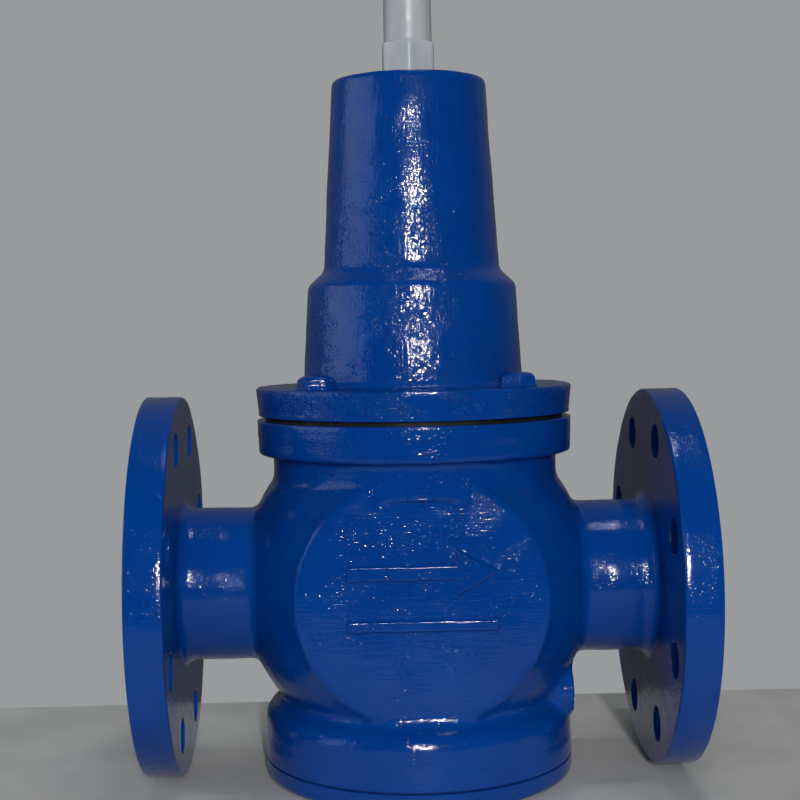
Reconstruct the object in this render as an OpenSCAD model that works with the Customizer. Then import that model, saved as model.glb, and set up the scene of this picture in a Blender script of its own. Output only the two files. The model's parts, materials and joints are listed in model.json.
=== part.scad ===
// Flanged, direct-acting, spring-loaded pressure reducing valve, nominal bore 80 mm.
// The origin is on the underside, straight below the stem. +X runs from the inlet to the
// outlet and +Z runs up the stem. The valve is drawn closed, with its adjusting screw backed out.
// Names that end in _z are heights above the underside, and names that end in _dz are
// heights above the port axis.

/* [End flanges] */
// Length over both raised faces
face_to_face = 290; // [288:1:300]
// Height of the port axis above the underside
port_h = 102; // [102:1:106]
// Outside diameter of an end flange
flange_d = 200; // [198:1:204]
// Thickness of the flange rim, without its raised face
flange_t = 19; // [18:1:21]
// Diameter of the raised face
raised_d = 132; // [130:1:136]
// Height of the raised face
raised_t = 3; // [2:0.5:3]
// Pitch circle of the flange bolts
flange_pcd = 160; // [159:0.5:161]
// Number of flange bolts
flange_bolts = 8; // [4:4:8]
// Diameter of a flange bolt hole
flange_hole_d = 18; // [17:0.5:19]
// Nominal bore at the flange face
bore_d = 80; // [78:1:82]
// Straight length of the nominal bore
bore_len = 20; // [18:1:22]
// Throat of the port, inside the neck
throat_d = 66; // [64:1:67]
// Outside diameter of the neck behind the flange
neck_d = 81; // [80:1:84]
// Fillet between the neck and the flange
neck_fillet = 6; // [4:1:8]

/* [Body] */
// Diameter of the ball-shaped body
ball_d = 188; // [186:1:190]
// Wall of the casting
wall = 8; // [7:0.5:8.5]
// Half the distance over the round pads, which stay clear of the flange bolts' axes
pad_y = 73; // [72:0.5:73]
// Diameter of a pad's flat face
pad_d = 124; // [122:1:126]
// Height of the raised marks on the pads
mark_t = 1.2; // [1:0.1:1.5]
// Diameter of the neck under the top flange
collar_d = 151; // [150:1:153]
// Diameter of the body's top flange
top_flange_d = 166.6; // [166:0.2:168]
// Height of the top flange face above the port axis
top_face_dz = 87.2; // [87:0.1:88]
// Diameter of the skirt round the bottom opening
skirt_d = 164; // [163:1:166]
// Radius of the skirt's upper shoulder
skirt_round = 11; // [10:0.5:11.5]
// Bore of the diaphragm chamber
chamber_d = 108; // [107:0.5:109]
// Bore of the bottom opening
bottom_bore_d = 104; // [103:0.5:105]
// Thickness of the web round the seat
web_t = 10; // [9:0.5:10]

/* [Bonnet] */
// Height of the bonnet's top above the port axis
bonnet_top_dz = 265; // [264:1:268]
// Thickness of the bonnet flange
bonnet_flange_t = 15.3; // [15:0.1:16]
// Diameter of the bonnet flange at its lower edge
bonnet_flange_d = 165; // [164:1:166]
// Diameter of the bonnet flange at its upper edge
bonnet_rim_d = 168; // [167:1:169]
// Diameter at the foot of the bonnet's skirt
bonnet_foot_d = 117.8; // [116:0.2:118]
// Diameter at the head of the bonnet's skirt
bonnet_waist_d = 111; // [110:0.5:112]
// Diameter at the foot of the cone
cone_foot_d = 94.6; // [94:0.2:96]
// Diameter at the top of the cone
cone_top_d = 81.6; // [81:0.2:83]
// Wall of the bonnet
bonnet_wall = 7; // [6:0.5:7.5]
// Thickness of metal that the adjusting screw runs through
bonnet_roof_t = 22; // [20:1:24]
// Pitch circle of the bonnet bolts
bonnet_pcd = 142; // [141:0.5:143]
// Number of bonnet bolts, and of cover screws
cover_bolts = 4; // [4:2:6]
// Thread diameter of the bonnet bolts
bolt_d = 10; // [9:0.5:10]
// Width of a bonnet bolt head across its flats
bolt_af = 17; // [16:0.5:17]
// Height of a bonnet bolt head
bolt_head_t = 7; // [6.4:0.1:7.4]

/* [Bottom cover] */
// Thickness of the bottom cover
cover_t = 10; // [10:0.5:11]
// Radius of the cover's lower edge
cover_round = 4; // [2:0.5:5]
// Thickness of the cover gasket
gasket_t = 0.6; // [0.5:0.1:1]
// Pitch circle of the cover screws
cover_pcd = 132; // [131:0.5:133]

/* [Trim] */
// Bore of the seat ring
seat_d = 60; // [58:1:61]
// Full lift of the valve disc
lift = 15; // [12:1:15]
// Diameter of the stem
stem_d = 16; // [15:0.5:16]
// Diameter of the stem's lower journal
journal_d = 12; // [11:0.5:12]
// Diameter of the stem where the diaphragm is clamped
clamp_d = 14; // [13:0.5:14]
// Diameter of the diaphragm plates
plate_d = 72; // [70:1:74]
// Thickness of the diaphragm
diaphragm_t = 2.3; // [2:0.1:2.5]
// Radial running clearance of every shaft in its bush
run_gap = 0.05; // [0.02:0.01:0.08]

/* [Springs and adjuster] */
// Wire diameter of the main spring
main_wire_d = 9; // [8:0.5:9]
// Mean coil diameter of the main spring
main_mean_d = 54; // [53:0.5:55]
// Number of turns of the main spring
main_turns = 8; // [7:0.5:8]
// Wire diameter of the return spring
return_wire_d = 3; // [2.5:0.5:3]
// Mean coil diameter of the return spring
return_mean_d = 40; // [39:0.5:42]
// Number of turns of the return spring
return_turns = 7; // [6:0.5:7]
// Thread diameter of the adjusting screw
screw_d = 12; // [11.5:0.5:12]
// Pitch of the adjusting screw
screw_pitch = 1.75; // [1.5:0.25:2]
// Length of screw that stands out of the bonnet
screw_out = 45; // [40:1:46]
// Width of the lock nut across its flats
lock_nut_af = 18; // [17:0.5:19]
// Thickness of the lock nut
lock_nut_t = 6; // [5:0.5:7]
// Width of the plastic cap's hexagon across its flats
cap_af = 27; // [26:0.5:28]
// Height of the cap's hexagon
cap_hex_h = 19; // [18:0.5:20]
// Height of the whole cap
cap_h = 65; // [62:1:66]
// Outside diameter of the cap's tube at its foot
cap_tube_d = 25.6; // [25:0.1:26]
// Bore of the cap
cap_bore_d = 22.4; // [22:0.1:22.8]

/* [Hidden] */
$fn = 96;

// A cut runs this far past the face that it opens
past = 1;
// Gap between two pieces that only rest on each other
rest_gap = 0.05;
// Gap between the closed disc and the seat, so that they only just don't touch
seat_gap = 0.3;
// Fraction of the inscribed to the circumscribed radius of a hexagon
hex_ratio = cos(30);

enamel = [0.02, 0.25, 0.55];
bronze = [0.72, 0.53, 0.25];
steel = [0.65, 0.66, 0.68];
spring_steel = [0.3, 0.31, 0.33];
rubber = [0.08, 0.08, 0.08];
milky = [0.88, 0.9, 0.92];

// End flanges and ports, along the port axis
rim_x = face_to_face / 2 - raised_t;
flange_x = rim_x - flange_t;
throat_x = face_to_face / 2 - bore_len - 14;
ball_r = ball_d / 2;
cavity_r = ball_r - wall;
neck_start_x = 60;

// Body, up the stem
body_foot_z = cover_t + gasket_t;
shelf_dz = 46;
guide_seat_dz = 55;
guide_plate_t = 8;
sump_dz = -56;
top_face_z = port_h + top_face_dz;
web_top_dz = web_t * 0.7;
web_foot_dz = web_top_dz - web_t;
web_long = 50;
web_short = 42;
web_reach = 78;
web_lean = 18;
seat_ring_d = 72;
seat_flange_d = 78;
seat_flange_t = 3;
seat_lip_dz = -6;
bolt_hole_deep = 20;

// Bonnet, up the stem
bonnet_foot_z = top_face_z + diaphragm_t;
bonnet_face_z = bonnet_foot_z + bonnet_flange_t;
bonnet_top_z = port_h + bonnet_top_dz;
shoulder_z = port_h + 163;
shoulder_round = 8;
bonnet_round = 4.5;
spring_room_d = 100;
bonnet_roof_z = bonnet_top_z - bonnet_roof_t;

// Trim, up the stem
holder_d = 76;
holder_top_dz = -8;
holder_foot_dz = -20;
collar_t = 4;
stem_collar_d = 20;
seal_t = 5;
seal_top_dz = seat_lip_dz - seat_gap;
seal_d = 70;
seal_bore_d = 40;
retainer_d = 54;
retainer_t = 5;
disc_nut_t = 8;
plate_t = 5;
guide_boss_top_dz = -50;
guide_boss_d = 30;
journal_end_dz = -72;
bush_r = 9.5;
lower_plate_z = top_face_z - plate_t;
upper_plate_z = bonnet_foot_z + plate_t;
spigot_t = 4.5;
washer_t = 2.5;
diaphragm_nut_t = 11;
diaphragm_d = 158;
groove_mid_r = 43.5;
groove_r = 6.5;

// Adjuster, up the stem
seat_disc_d = 62;
seat_disc_t = 8;
seat_spigot_d = 43;
seat_spigot_t = 8;
seat_foot_z = port_h + 225;
ball_bearing_d = 12;
socket_gap = 0.1;
screw_tip_gap = 6;
seat_top_z = seat_foot_z + seat_disc_t;
bearing_z = seat_top_z + screw_tip_gap / 2;
screw_tip_z = seat_top_z + screw_tip_gap;
screw_end_z = bonnet_top_z + screw_out;
drive_t = 9;
drive_af = 8;
lock_washer_t = 1.5;
thread_depth = screw_pitch * 0.6;
cap_lift_gap = 0.3;

// A hexagonal prism with the width af across its flats, standing on the origin
module hex_prism(af, h) {
    cylinder(r = af / 2 / hex_ratio, h = h, $fn = 6);
}

// A flat ring standing on the origin
module ring(d_out, d_in, h) {
    linear_extrude(h) difference() {
        circle(d = d_out);
        circle(d = d_in);
    }
}

// A hexagonal nut or bolt head whose top corners are turned to a cone
module chamfered_hex(af, h) {
    corner_r = af / 2 / hex_ratio;
    turned = (corner_r - af / 2) * 0.9;
    intersection() {
        hex_prism(af, h);
        rotate_extrude() polygon([
            [0, 0], [corner_r + past, 0], [corner_r + past, h - turned - past * 0.5],
            [af / 2 * 0.96, h], [0, h]
        ]);
    }
}

// A hexagonal nut with a plain bore
module nut(af, bore, h) {
    difference() {
        chamfered_hex(af, h);
        translate([0, 0, -past]) cylinder(d = bore, h = h + 2 * past);
    }
}

// Children repeated on a circle round the stem, first at half a step
module around(count, pcd) {
    for (i = [0 : count - 1])
        rotate([0, 0, (i + 0.5) * 360 / count]) translate([pcd / 2, 0, 0]) children();
}

// Children turned so that their +Z runs along +X from the centre of the body
module along_port() {
    translate([0, 0, port_h]) rotate([0, 90, 0]) children();
}

// The inlet and the outlet from one outlet
module both_ports() {
    along_port() children();
    mirror([1, 0, 0]) along_port() children();
}

// A coil of round wire between two heights, with a closed turn at each end
module coil(mean_d, wire_d, turns, foot_z, head_z) {
    sides = 8;
    steps = round(24 * turns);
    dead_rise = 1.06 * wire_d;
    reach = head_z - foot_z - wire_d;
    climb = [[0, 0], [1, dead_rise], [turns - 1, reach - dead_rise], [turns, reach]];
    rings = [
        for (i = [0 : steps], j = [0 : sides - 1])
            let (turn = turns * i / steps, a = 360 * j / sides)
            let (r = mean_d / 2 + wire_d / 2 * cos(a))
            [r * cos(360 * turn), r * sin(360 * turn),
             foot_z + wire_d / 2 + lookup(turn, climb) + wire_d / 2 * sin(a)]
    ];
    skin = [
        for (i = [0 : steps - 1], j = [0 : sides - 1])
            let (k = (j + 1) % sides)
            [i * sides + j, (i + 1) * sides + j, (i + 1) * sides + k, i * sides + k]
    ];
    start_cap = [[for (j = [0 : sides - 1]) j]];
    end_cap = [[for (j = [sides - 1 : -1 : 0]) steps * sides + j]];
    polyhedron(points = rings, faces = concat(skin, start_cap, end_cap), convexity = 10);
}

// ---- Cast body ----

// Neck, fillet, flange and raised face of one port, turned about the port axis
module port_outside() {
    neck_r = neck_d / 2;
    rotate_extrude() {
        translate([0, neck_start_x]) square([neck_r, flange_x - neck_start_x]);
        difference() {
            translate([0, flange_x - neck_fillet]) square([neck_r + neck_fillet, neck_fillet]);
            translate([neck_r + neck_fillet, flange_x - neck_fillet]) circle(r = neck_fillet);
        }
        translate([0, flange_x]) square([flange_d / 2, flange_t]);
        translate([0, rim_x]) square([raised_d / 2, raised_t]);
    }
}

// The bore of one port, from the face to the chamber, and its bolt holes
module port_inside() {
    face_x = face_to_face / 2;
    rotate_extrude() polygon([
        [0, neck_start_x], [throat_d / 2, neck_start_x], [throat_d / 2, throat_x],
        [bore_d / 2, face_x - bore_len], [bore_d / 2, face_x + past], [0, face_x + past]
    ]);
    around(flange_bolts, flange_pcd)
        translate([0, 0, flange_x - past]) cylinder(d = flange_hole_d, h = flange_t + 2 * past);
}

// The ball with its two round pads
module ball_outside() {
    ball_top_dz = 58;
    ball_foot_dz = -66;
    pad_foot_y = 66;
    pad_draft = 5;
    intersection() {
        translate([0, 0, port_h]) sphere(r = ball_r);
        translate([-ball_r, -pad_foot_y - 4, port_h + ball_foot_dz])
            cube([ball_d, 2 * (pad_foot_y + 4), ball_top_dz - ball_foot_dz]);
    }
    for (side = [-1, 1])
        translate([0, side * pad_foot_y, port_h]) rotate([-side * 90, 0, 0])
            cylinder(d1 = pad_d + 2 * pad_draft, d2 = pad_d, h = pad_y - pad_foot_y);
}

// Skirt round the bottom opening, and the neck and flange under the bonnet
module turned_outside() {
    skirt_r = skirt_d / 2;
    skirt_top_dz = -61;
    collar_foot_dz = 50;
    rim_r = top_flange_d / 2;
    collar_r = collar_d / 2;
    skirt_mid_z = port_h + skirt_top_dz - skirt_round;
    rotate_extrude() {
        translate([0, body_foot_z]) square([skirt_r, skirt_mid_z - body_foot_z]);
        translate([0, body_foot_z])
            square([skirt_r - skirt_round, port_h + skirt_top_dz - body_foot_z]);
        translate([skirt_r - skirt_round, skirt_mid_z]) circle(r = skirt_round);
        polygon([
            [0, port_h + collar_foot_dz], [collar_r, port_h + collar_foot_dz],
            [collar_r, top_face_z - 26], [collar_r + 4, top_face_z - 20.5],
            [rim_r, top_face_z - 15.5], [rim_r, top_face_z - 1],
            [rim_r - 1, top_face_z], [0, top_face_z]
        ]);
    }
}

// Plain raised arrow and bar on one pad, drawn in the plane of the pad
module pad_marks() {
    shaft_w = 7;
    head_w = 22;
    head_l = 20;
    arrow_l = 74;
    arrow_dz = 15;
    bar_dz = -11;
    bar_w = 5;
    linear_extrude(2 * mark_t) {
        polygon([
            [-arrow_l / 2, arrow_dz - shaft_w / 2],
            [arrow_l / 2 - head_l, arrow_dz - shaft_w / 2],
            [arrow_l / 2 - head_l, arrow_dz - head_w / 2],
            [arrow_l / 2, arrow_dz],
            [arrow_l / 2 - head_l, arrow_dz + head_w / 2],
            [arrow_l / 2 - head_l, arrow_dz + shaft_w / 2],
            [-arrow_l / 2, arrow_dz + shaft_w / 2]
        ]);
        translate([-arrow_l / 2, bar_dz - bar_w / 2]) square([arrow_l, bar_w]);
    }
}

// The marks on the front and on the back, both with the arrow towards the outlet
module raised_marks() {
    translate([0, -pad_y + mark_t, port_h]) rotate([90, 0, 0]) pad_marks();
    translate([0, pad_y + mark_t, port_h]) rotate([90, 0, 0]) pad_marks();
}

// Place of the drain boss, low on the outlet side, with +Z out of the body
module at_drain() {
    drain_dz = -56.5;
    drain_y = -22;
    translate([0, drain_y, port_h + drain_dz]) rotate([0, 90, 0]) children();
}
drain_face_x = 80.5;
drain_boss_d = 26;
drain_bore_d = 9;
drain_thread_d = 13;
drain_plug_t = 11;

// The space inside the ball, cut off by the shelf under the guide plate and by the sump floor
module chamber_room() {
    room_y = pad_y - wall;
    intersection() {
        translate([0, 0, port_h]) sphere(r = cavity_r);
        translate([-cavity_r, -room_y, port_h + sump_dz])
            cube([2 * cavity_r, 2 * room_y, shelf_dz - sump_dz]);
    }
}

// The S-shaped web between the inlet side below the seat and the outlet side above it
module web() {
    lean_up = web_reach - web_lean;
    difference() {
        translate([0, pad_y, port_h]) rotate([90, 0, 0]) linear_extrude(2 * pad_y) polygon([
            [-web_short - web_lean, lean_up], [-web_short, web_top_dz], [web_long, web_top_dz],
            [web_long + web_lean + 5, -lean_up], [web_short + web_lean, -lean_up],
            [web_short, web_foot_dz], [-web_long, web_foot_dz], [-web_long - web_lean - 5, lean_up]
        ]);
        translate([0, 0, port_h - web_t]) cylinder(d = seat_ring_d, h = 2 * web_t);
    }
}

module valve_body() color(enamel) {
    throat_bore_d = 100;
    groove_d = chamber_d + 4;
    difference() {
        union() {
            ball_outside();
            turned_outside();
            both_ports() port_outside();
            at_drain() translate([0, 0, neck_start_x])
                cylinder(d = drain_boss_d, h = drain_face_x - neck_start_x);
            raised_marks();
        }
        difference() {
            chamber_room();
            web();
        }
        both_ports() port_inside();
        // Opening down from the diaphragm chamber
        translate([0, 0, port_h + shelf_dz - past])
            cylinder(d = throat_bore_d, h = guide_seat_dz - shelf_dz + 2 * past);
        // Diaphragm chamber, with the guide plate's seat as its floor
        translate([0, 0, port_h + guide_seat_dz])
            cylinder(d = chamber_d, h = top_face_dz - guide_seat_dz + past);
        // Groove of the retaining ring
        translate([0, 0, port_h + guide_seat_dz + guide_plate_t + rest_gap])
            cylinder(d = groove_d, h = 2.2);
        // Bottom opening
        translate([0, 0, body_foot_z - past])
            cylinder(d = bottom_bore_d, h = port_h + sump_dz - body_foot_z + 2 * past);
        // Tapped holes for the bonnet bolts and for the cover screws
        around(cover_bolts, bonnet_pcd) translate([0, 0, top_face_z - bolt_hole_deep])
            cylinder(d = bolt_d + 2 * rest_gap, h = bolt_hole_deep + past);
        around(cover_bolts, cover_pcd) translate([0, 0, body_foot_z - past])
            cylinder(d = bolt_d + 2 * rest_gap, h = bolt_hole_deep + past);
        // Drain hole
        at_drain() {
            translate([0, 0, bottom_bore_d / 2 - 6])
                cylinder(d = drain_bore_d, h = drain_face_x - bottom_bore_d / 2);
            translate([0, 0, drain_face_x - drain_plug_t])
                cylinder(d = drain_thread_d, h = drain_plug_t + past);
        }
    }
}

module drain_plug() color(steel) {
    socket_af = 6;
    socket_t = 5;
    at_drain() translate([0, 0, drain_face_x - drain_plug_t]) difference() {
        cylinder(d = drain_thread_d - 2 * rest_gap, h = drain_plug_t - 0.5);
        translate([0, 0, drain_plug_t - socket_t]) hex_prism(socket_af, socket_t + past);
    }
}

// ---- Seat and guides ----

// Groove of the seat's O-ring, a little above the middle of the web
seat_ring_groove_dz = web_top_dz - 5;
seat_groove_t = 1.8;

module seat_ring() color(bronze) {
    outer_r = seat_ring_d / 2 - rest_gap;
    bore_r = seat_d / 2;
    lip_r = bore_r + 2;
    groove_r = outer_r - seat_groove_t;
    groove_h = 2.8;
    translate([0, 0, port_h]) rotate_extrude() difference() {
        polygon([
            [bore_r, seat_lip_dz], [lip_r, seat_lip_dz], [lip_r + 1.5, seat_lip_dz + 3],
            [outer_r, web_foot_dz + rest_gap], [outer_r, web_top_dz + rest_gap],
            [seat_flange_d / 2, web_top_dz + rest_gap],
            [seat_flange_d / 2, web_top_dz + seat_flange_t],
            [bore_r + 2, web_top_dz + seat_flange_t], [bore_r, web_top_dz + seat_flange_t - 2]
        ]);
        translate([groove_r, seat_ring_groove_dz - groove_h / 2])
            square([seat_groove_t + past, groove_h]);
    }
}

module seat_o_ring() color(rubber) {
    wire_d = seat_groove_t - 2 * rest_gap;
    mid_r = (seat_ring_d - seat_groove_t) / 2 - rest_gap;
    translate([0, 0, port_h + seat_ring_groove_dz])
        rotate_extrude() translate([mid_r, 0]) circle(d = wire_d);
}

guide_hub_d = 32;
guide_hub_dz = [49, 66];
hub_bush_d = 24;
gland_d = 22;
gland_t = 3;

module guide_plate() color(bronze) {
    feedback_d = 8;
    feedback_pcd = 72;
    plate_r = chamber_d / 2 - 2 * rest_gap;
    difference() {
        translate([0, 0, port_h]) rotate_extrude() {
            translate([0, guide_seat_dz + rest_gap])
                square([plate_r, guide_plate_t - rest_gap]);
            translate([0, guide_hub_dz[0]])
                square([guide_hub_d / 2, guide_hub_dz[1] - guide_hub_dz[0]]);
        }
        translate([0, 0, port_h + guide_hub_dz[0] - past])
            cylinder(d = hub_bush_d, h = guide_hub_dz[1] - guide_hub_dz[0] + 2 * past);
        around(6, feedback_pcd)
            translate([0, 0, port_h + guide_seat_dz - past])
                cylinder(d = feedback_d, h = guide_plate_t + 2 * past);
    }
}

module guide_bush() color(bronze) {
    bush_h = guide_hub_dz[1] - guide_hub_dz[0];
    difference() {
        translate([0, 0, port_h + guide_hub_dz[0]])
            ring(hub_bush_d - 2 * rest_gap, stem_d + 2 * run_gap, bush_h);
        translate([0, 0, port_h + guide_hub_dz[1] - gland_t - 3])
            cylinder(d = gland_d, h = gland_t);
    }
}

module guide_bush_o_ring() color(rubber) {
    wire_d = 2.8;
    mid_r = stem_d / 2 + run_gap + wire_d / 2;
    translate([0, 0, port_h + guide_hub_dz[1] - gland_t / 2 - 3])
        rotate_extrude() translate([mid_r, 0]) circle(d = wire_d);
}

module guide_retaining_ring() color(spring_steel) {
    ring_t = 2;
    ring_out_d = chamber_d + 3.6;
    ring_in_d = chamber_d - 6;
    gap_w = 16;
    lug_d = 8;
    lug_hole_d = 3;
    lug_y = gap_w / 2 + lug_d / 2 - 1;
    translate([0, 0, port_h + guide_seat_dz + guide_plate_t + 2 * rest_gap])
        linear_extrude(ring_t) difference() {
            union() {
                difference() {
                    circle(d = ring_out_d);
                    circle(d = ring_in_d);
                    translate([0, -gap_w / 2]) square([ring_out_d, gap_w]);
                }
                for (side = [-1, 1]) translate([ring_in_d / 2 - 1, side * lug_y]) circle(d = lug_d);
            }
            for (side = [-1, 1]) translate([ring_in_d / 2 - 1, side * lug_y]) circle(d = lug_hole_d);
        }
}

// ---- Bottom cover ----

cover_screw_head_d = 20;
cover_screw_head_t = 5.5;
guide_bore_foot_dz = -89;

module bottom_cover() color(enamel) {
    cover_r = skirt_d / 2;
    spigot_r = bottom_bore_d / 2 - 2.5;
    cover_spigot_t = 4;
    boss_r = guide_boss_d / 2;
    clearance_d = bolt_d + 1;
    difference() {
        rotate_extrude() {
            translate([0, cover_round]) square([cover_r, cover_t - cover_round]);
            square([cover_r - cover_round, cover_t]);
            translate([cover_r - cover_round, cover_round]) circle(r = cover_round);
            square([spigot_r, cover_t + cover_spigot_t]);
            square([boss_r, port_h + guide_boss_top_dz]);
        }
        translate([0, 0, port_h + guide_bore_foot_dz])
            cylinder(r = bush_r, h = guide_boss_top_dz - guide_bore_foot_dz + past);
        around(cover_bolts, cover_pcd) {
            translate([0, 0, -past]) cylinder(d = clearance_d, h = cover_t + 2 * past);
            translate([0, 0, -rest_gap]) cylinder(
                d1 = cover_screw_head_d + 1, d2 = clearance_d - 0.5, h = cover_screw_head_t + 0.3);
        }
    }
}

module cover_gasket() color(rubber) {
    gasket_d = skirt_d - 4;
    hole_d = bolt_d + 1;
    translate([0, 0, cover_t]) linear_extrude(gasket_t) difference() {
        circle(d = gasket_d);
        circle(d = bottom_bore_d);
        for (i = [0 : cover_bolts - 1])
            rotate((i + 0.5) * 360 / cover_bolts) translate([cover_pcd / 2, 0]) circle(d = hole_d);
    }
}

module cover_screws() color(steel) {
    socket_af = 6;
    socket_t = 3.5;
    screw_l = 26;
    around(cover_bolts, cover_pcd) difference() {
        rotate_extrude() polygon([
            [0, 0.2], [cover_screw_head_d / 2 - 0.3, 0.2], [bolt_d / 2, cover_screw_head_t],
            [bolt_d / 2, screw_l - 1], [bolt_d / 2 - 1, screw_l], [0, screw_l]
        ]);
        translate([0, 0, -past]) hex_prism(socket_af, socket_t + past);
    }
}

module bottom_guide_bush() color(bronze) {
    bush_l = 30;
    translate([0, 0, port_h + guide_boss_top_dz - bush_l])
        ring(2 * bush_r - 2 * rest_gap, journal_d + 2 * run_gap, bush_l);
}

// ---- Bonnet ----

module bonnet() color(enamel) {
    foot_fillet = 3;
    foot_r = bonnet_foot_d / 2;
    waist_r = bonnet_waist_d / 2;
    cone_r = cone_foot_d / 2;
    top_r = cone_top_d / 2;
    shoulder_foot_z = shoulder_z - shoulder_round;
    room_r = spring_room_d / 2;
    vent_d = 6;
    vent_z = bonnet_face_z + 14;
    difference() {
        rotate_extrude() difference() {
            union() {
                polygon([
                    [0, bonnet_foot_z], [bonnet_flange_d / 2 - 1, bonnet_foot_z],
                    [bonnet_flange_d / 2, bonnet_foot_z + 1],
                    [bonnet_rim_d / 2, bonnet_face_z - 1.5], [bonnet_rim_d / 2 - 1.5, bonnet_face_z],
                    [foot_r + foot_fillet, bonnet_face_z], [foot_r, bonnet_face_z + foot_fillet],
                    [waist_r, shoulder_foot_z], [0, shoulder_foot_z]
                ]);
                intersection() {
                    translate([waist_r - shoulder_round, shoulder_foot_z]) circle(r = shoulder_round);
                    translate([0, shoulder_foot_z - past]) square([waist_r + past, shoulder_round + past]);
                }
                translate([0, shoulder_foot_z - past])
                    square([waist_r - shoulder_round, shoulder_round + past]);
                polygon([
                    [0, shoulder_foot_z], [cone_r, shoulder_foot_z], [top_r, bonnet_top_z - bonnet_round],
                    [top_r - bonnet_round * 0.3, bonnet_top_z - bonnet_round * 0.3],
                    [top_r - bonnet_round, bonnet_top_z], [0, bonnet_top_z]
                ]);
            }
            // Room for the spring
            polygon([
                [-past, bonnet_foot_z - past], [room_r, bonnet_foot_z - past],
                [room_r, shoulder_foot_z - bonnet_wall],
                [cone_r - bonnet_wall, shoulder_z - bonnet_wall],
                [top_r - bonnet_wall, bonnet_roof_z], [-past, bonnet_roof_z]
            ]);
        }
        // Threaded hole of the adjusting screw, as a plain running bore
        translate([0, 0, bonnet_roof_z - past])
            cylinder(d = screw_d + 2 * run_gap, h = bonnet_roof_t + 2 * past);
        around(cover_bolts, bonnet_pcd) translate([0, 0, bonnet_foot_z - past])
            cylinder(d = bolt_d + 1, h = bonnet_flange_t + 2 * past);
        // Vent of the spring room, at the back
        translate([0, room_r - 2 * past, vent_z]) rotate([-90, 0, 0])
            cylinder(d = vent_d, h = foot_r - room_r + 4 * past);
    }
}

module bonnet_bolts() color(enamel) {
    grip = bonnet_flange_t + diaphragm_t;
    thread_l = 17;
    around(cover_bolts, bonnet_pcd) translate([0, 0, bonnet_face_z]) {
        rotate([0, 0, 15]) chamfered_hex(bolt_af, bolt_head_t);
        translate([0, 0, -grip - thread_l]) cylinder(d = bolt_d, h = grip + thread_l + past);
    }
}

// ---- Diaphragm ----

module diaphragm() color(rubber) {
    inner_r = clamp_d / 2 + 0.2;
    mid_z = diaphragm_t / 2;
    outer_arc_r = groove_r;
    inner_arc_r = groove_r - diaphragm_t;
    hole_d = bolt_d + 1;
    translate([0, 0, top_face_z]) difference() {
        rotate_extrude() difference() {
            union() {
                translate([inner_r, 0]) square([diaphragm_d / 2 - inner_r, diaphragm_t]);
                intersection() {
                    translate([groove_mid_r, mid_z]) circle(r = outer_arc_r);
                    translate([groove_mid_r - groove_r, 0]) square([2 * groove_r, 2 * groove_r]);
                }
            }
            translate([groove_mid_r, mid_z - 0.2]) circle(r = inner_arc_r);
        }
        around(cover_bolts, bonnet_pcd) translate([0, 0, -past])
            cylinder(d = hole_d, h = diaphragm_t + 2 * past);
    }
}

// ---- Stem and what is clamped on it ----

module stem() color(steel) {
    journal_r = journal_d / 2;
    stem_top_z = upper_plate_z + spigot_t + washer_t + diaphragm_nut_t + 2;
    rotate_extrude() polygon([
        [0, port_h + journal_end_dz], [journal_r - 1, port_h + journal_end_dz],
        [journal_r, port_h + journal_end_dz + 1],
        [journal_r, port_h + holder_foot_dz - collar_t],
        [stem_collar_d / 2, port_h + holder_foot_dz - collar_t],
        [stem_collar_d / 2, port_h + holder_foot_dz], [stem_d / 2, port_h + holder_foot_dz],
        [stem_d / 2, lower_plate_z], [clamp_d / 2, lower_plate_z],
        [clamp_d / 2, stem_top_z - 1], [clamp_d / 2 - 1, stem_top_z], [0, stem_top_z]
    ]);
}

module disc_holder() color(bronze) {
    rim_r = holder_d / 2;
    bore_r = stem_d / 2 + rest_gap;
    pocket_r = seal_d / 2 + rest_gap;
    pocket_dz = seal_top_dz - seal_t - rest_gap;
    foot_round = 3;
    translate([0, 0, port_h]) rotate_extrude() polygon([
        [bore_r, holder_foot_dz + rest_gap], [rim_r - foot_round, holder_foot_dz + rest_gap],
        [rim_r, holder_foot_dz + foot_round], [rim_r, holder_top_dz],
        [pocket_r, holder_top_dz], [pocket_r, pocket_dz],
        [seal_bore_d / 2 - rest_gap, pocket_dz], [seal_bore_d / 2 - rest_gap, seal_top_dz - rest_gap],
        [bore_r, seal_top_dz - rest_gap]
    ]);
}

module disc_seal() color(rubber) {
    translate([0, 0, port_h + seal_top_dz - seal_t]) ring(seal_d, seal_bore_d, seal_t);
}

module disc_retainer() color(bronze) {
    rim_r = retainer_d / 2;
    bore_r = stem_d / 2 + rest_gap;
    edge = 2;
    translate([0, 0, port_h + seal_top_dz]) rotate_extrude() polygon([
        [bore_r, 0], [rim_r, 0], [rim_r, retainer_t - edge],
        [rim_r - edge, retainer_t], [bore_r, retainer_t]
    ]);
}

module disc_nut() color(steel) {
    nut_af = 24;
    translate([0, 0, port_h + seal_top_dz + retainer_t])
        nut(nut_af, stem_d + 2 * rest_gap, disc_nut_t);
}

module lower_diaphragm_plate() color(steel) {
    edge = 2;
    rim_r = plate_d / 2;
    bore_r = clamp_d / 2 + rest_gap;
    translate([0, 0, lower_plate_z + rest_gap]) rotate_extrude() polygon([
        [bore_r, 0], [rim_r - edge, 0], [rim_r, edge], [rim_r, plate_t - edge],
        [rim_r - edge, plate_t - 2 * rest_gap], [bore_r, plate_t - 2 * rest_gap]
    ]);
}

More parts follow.
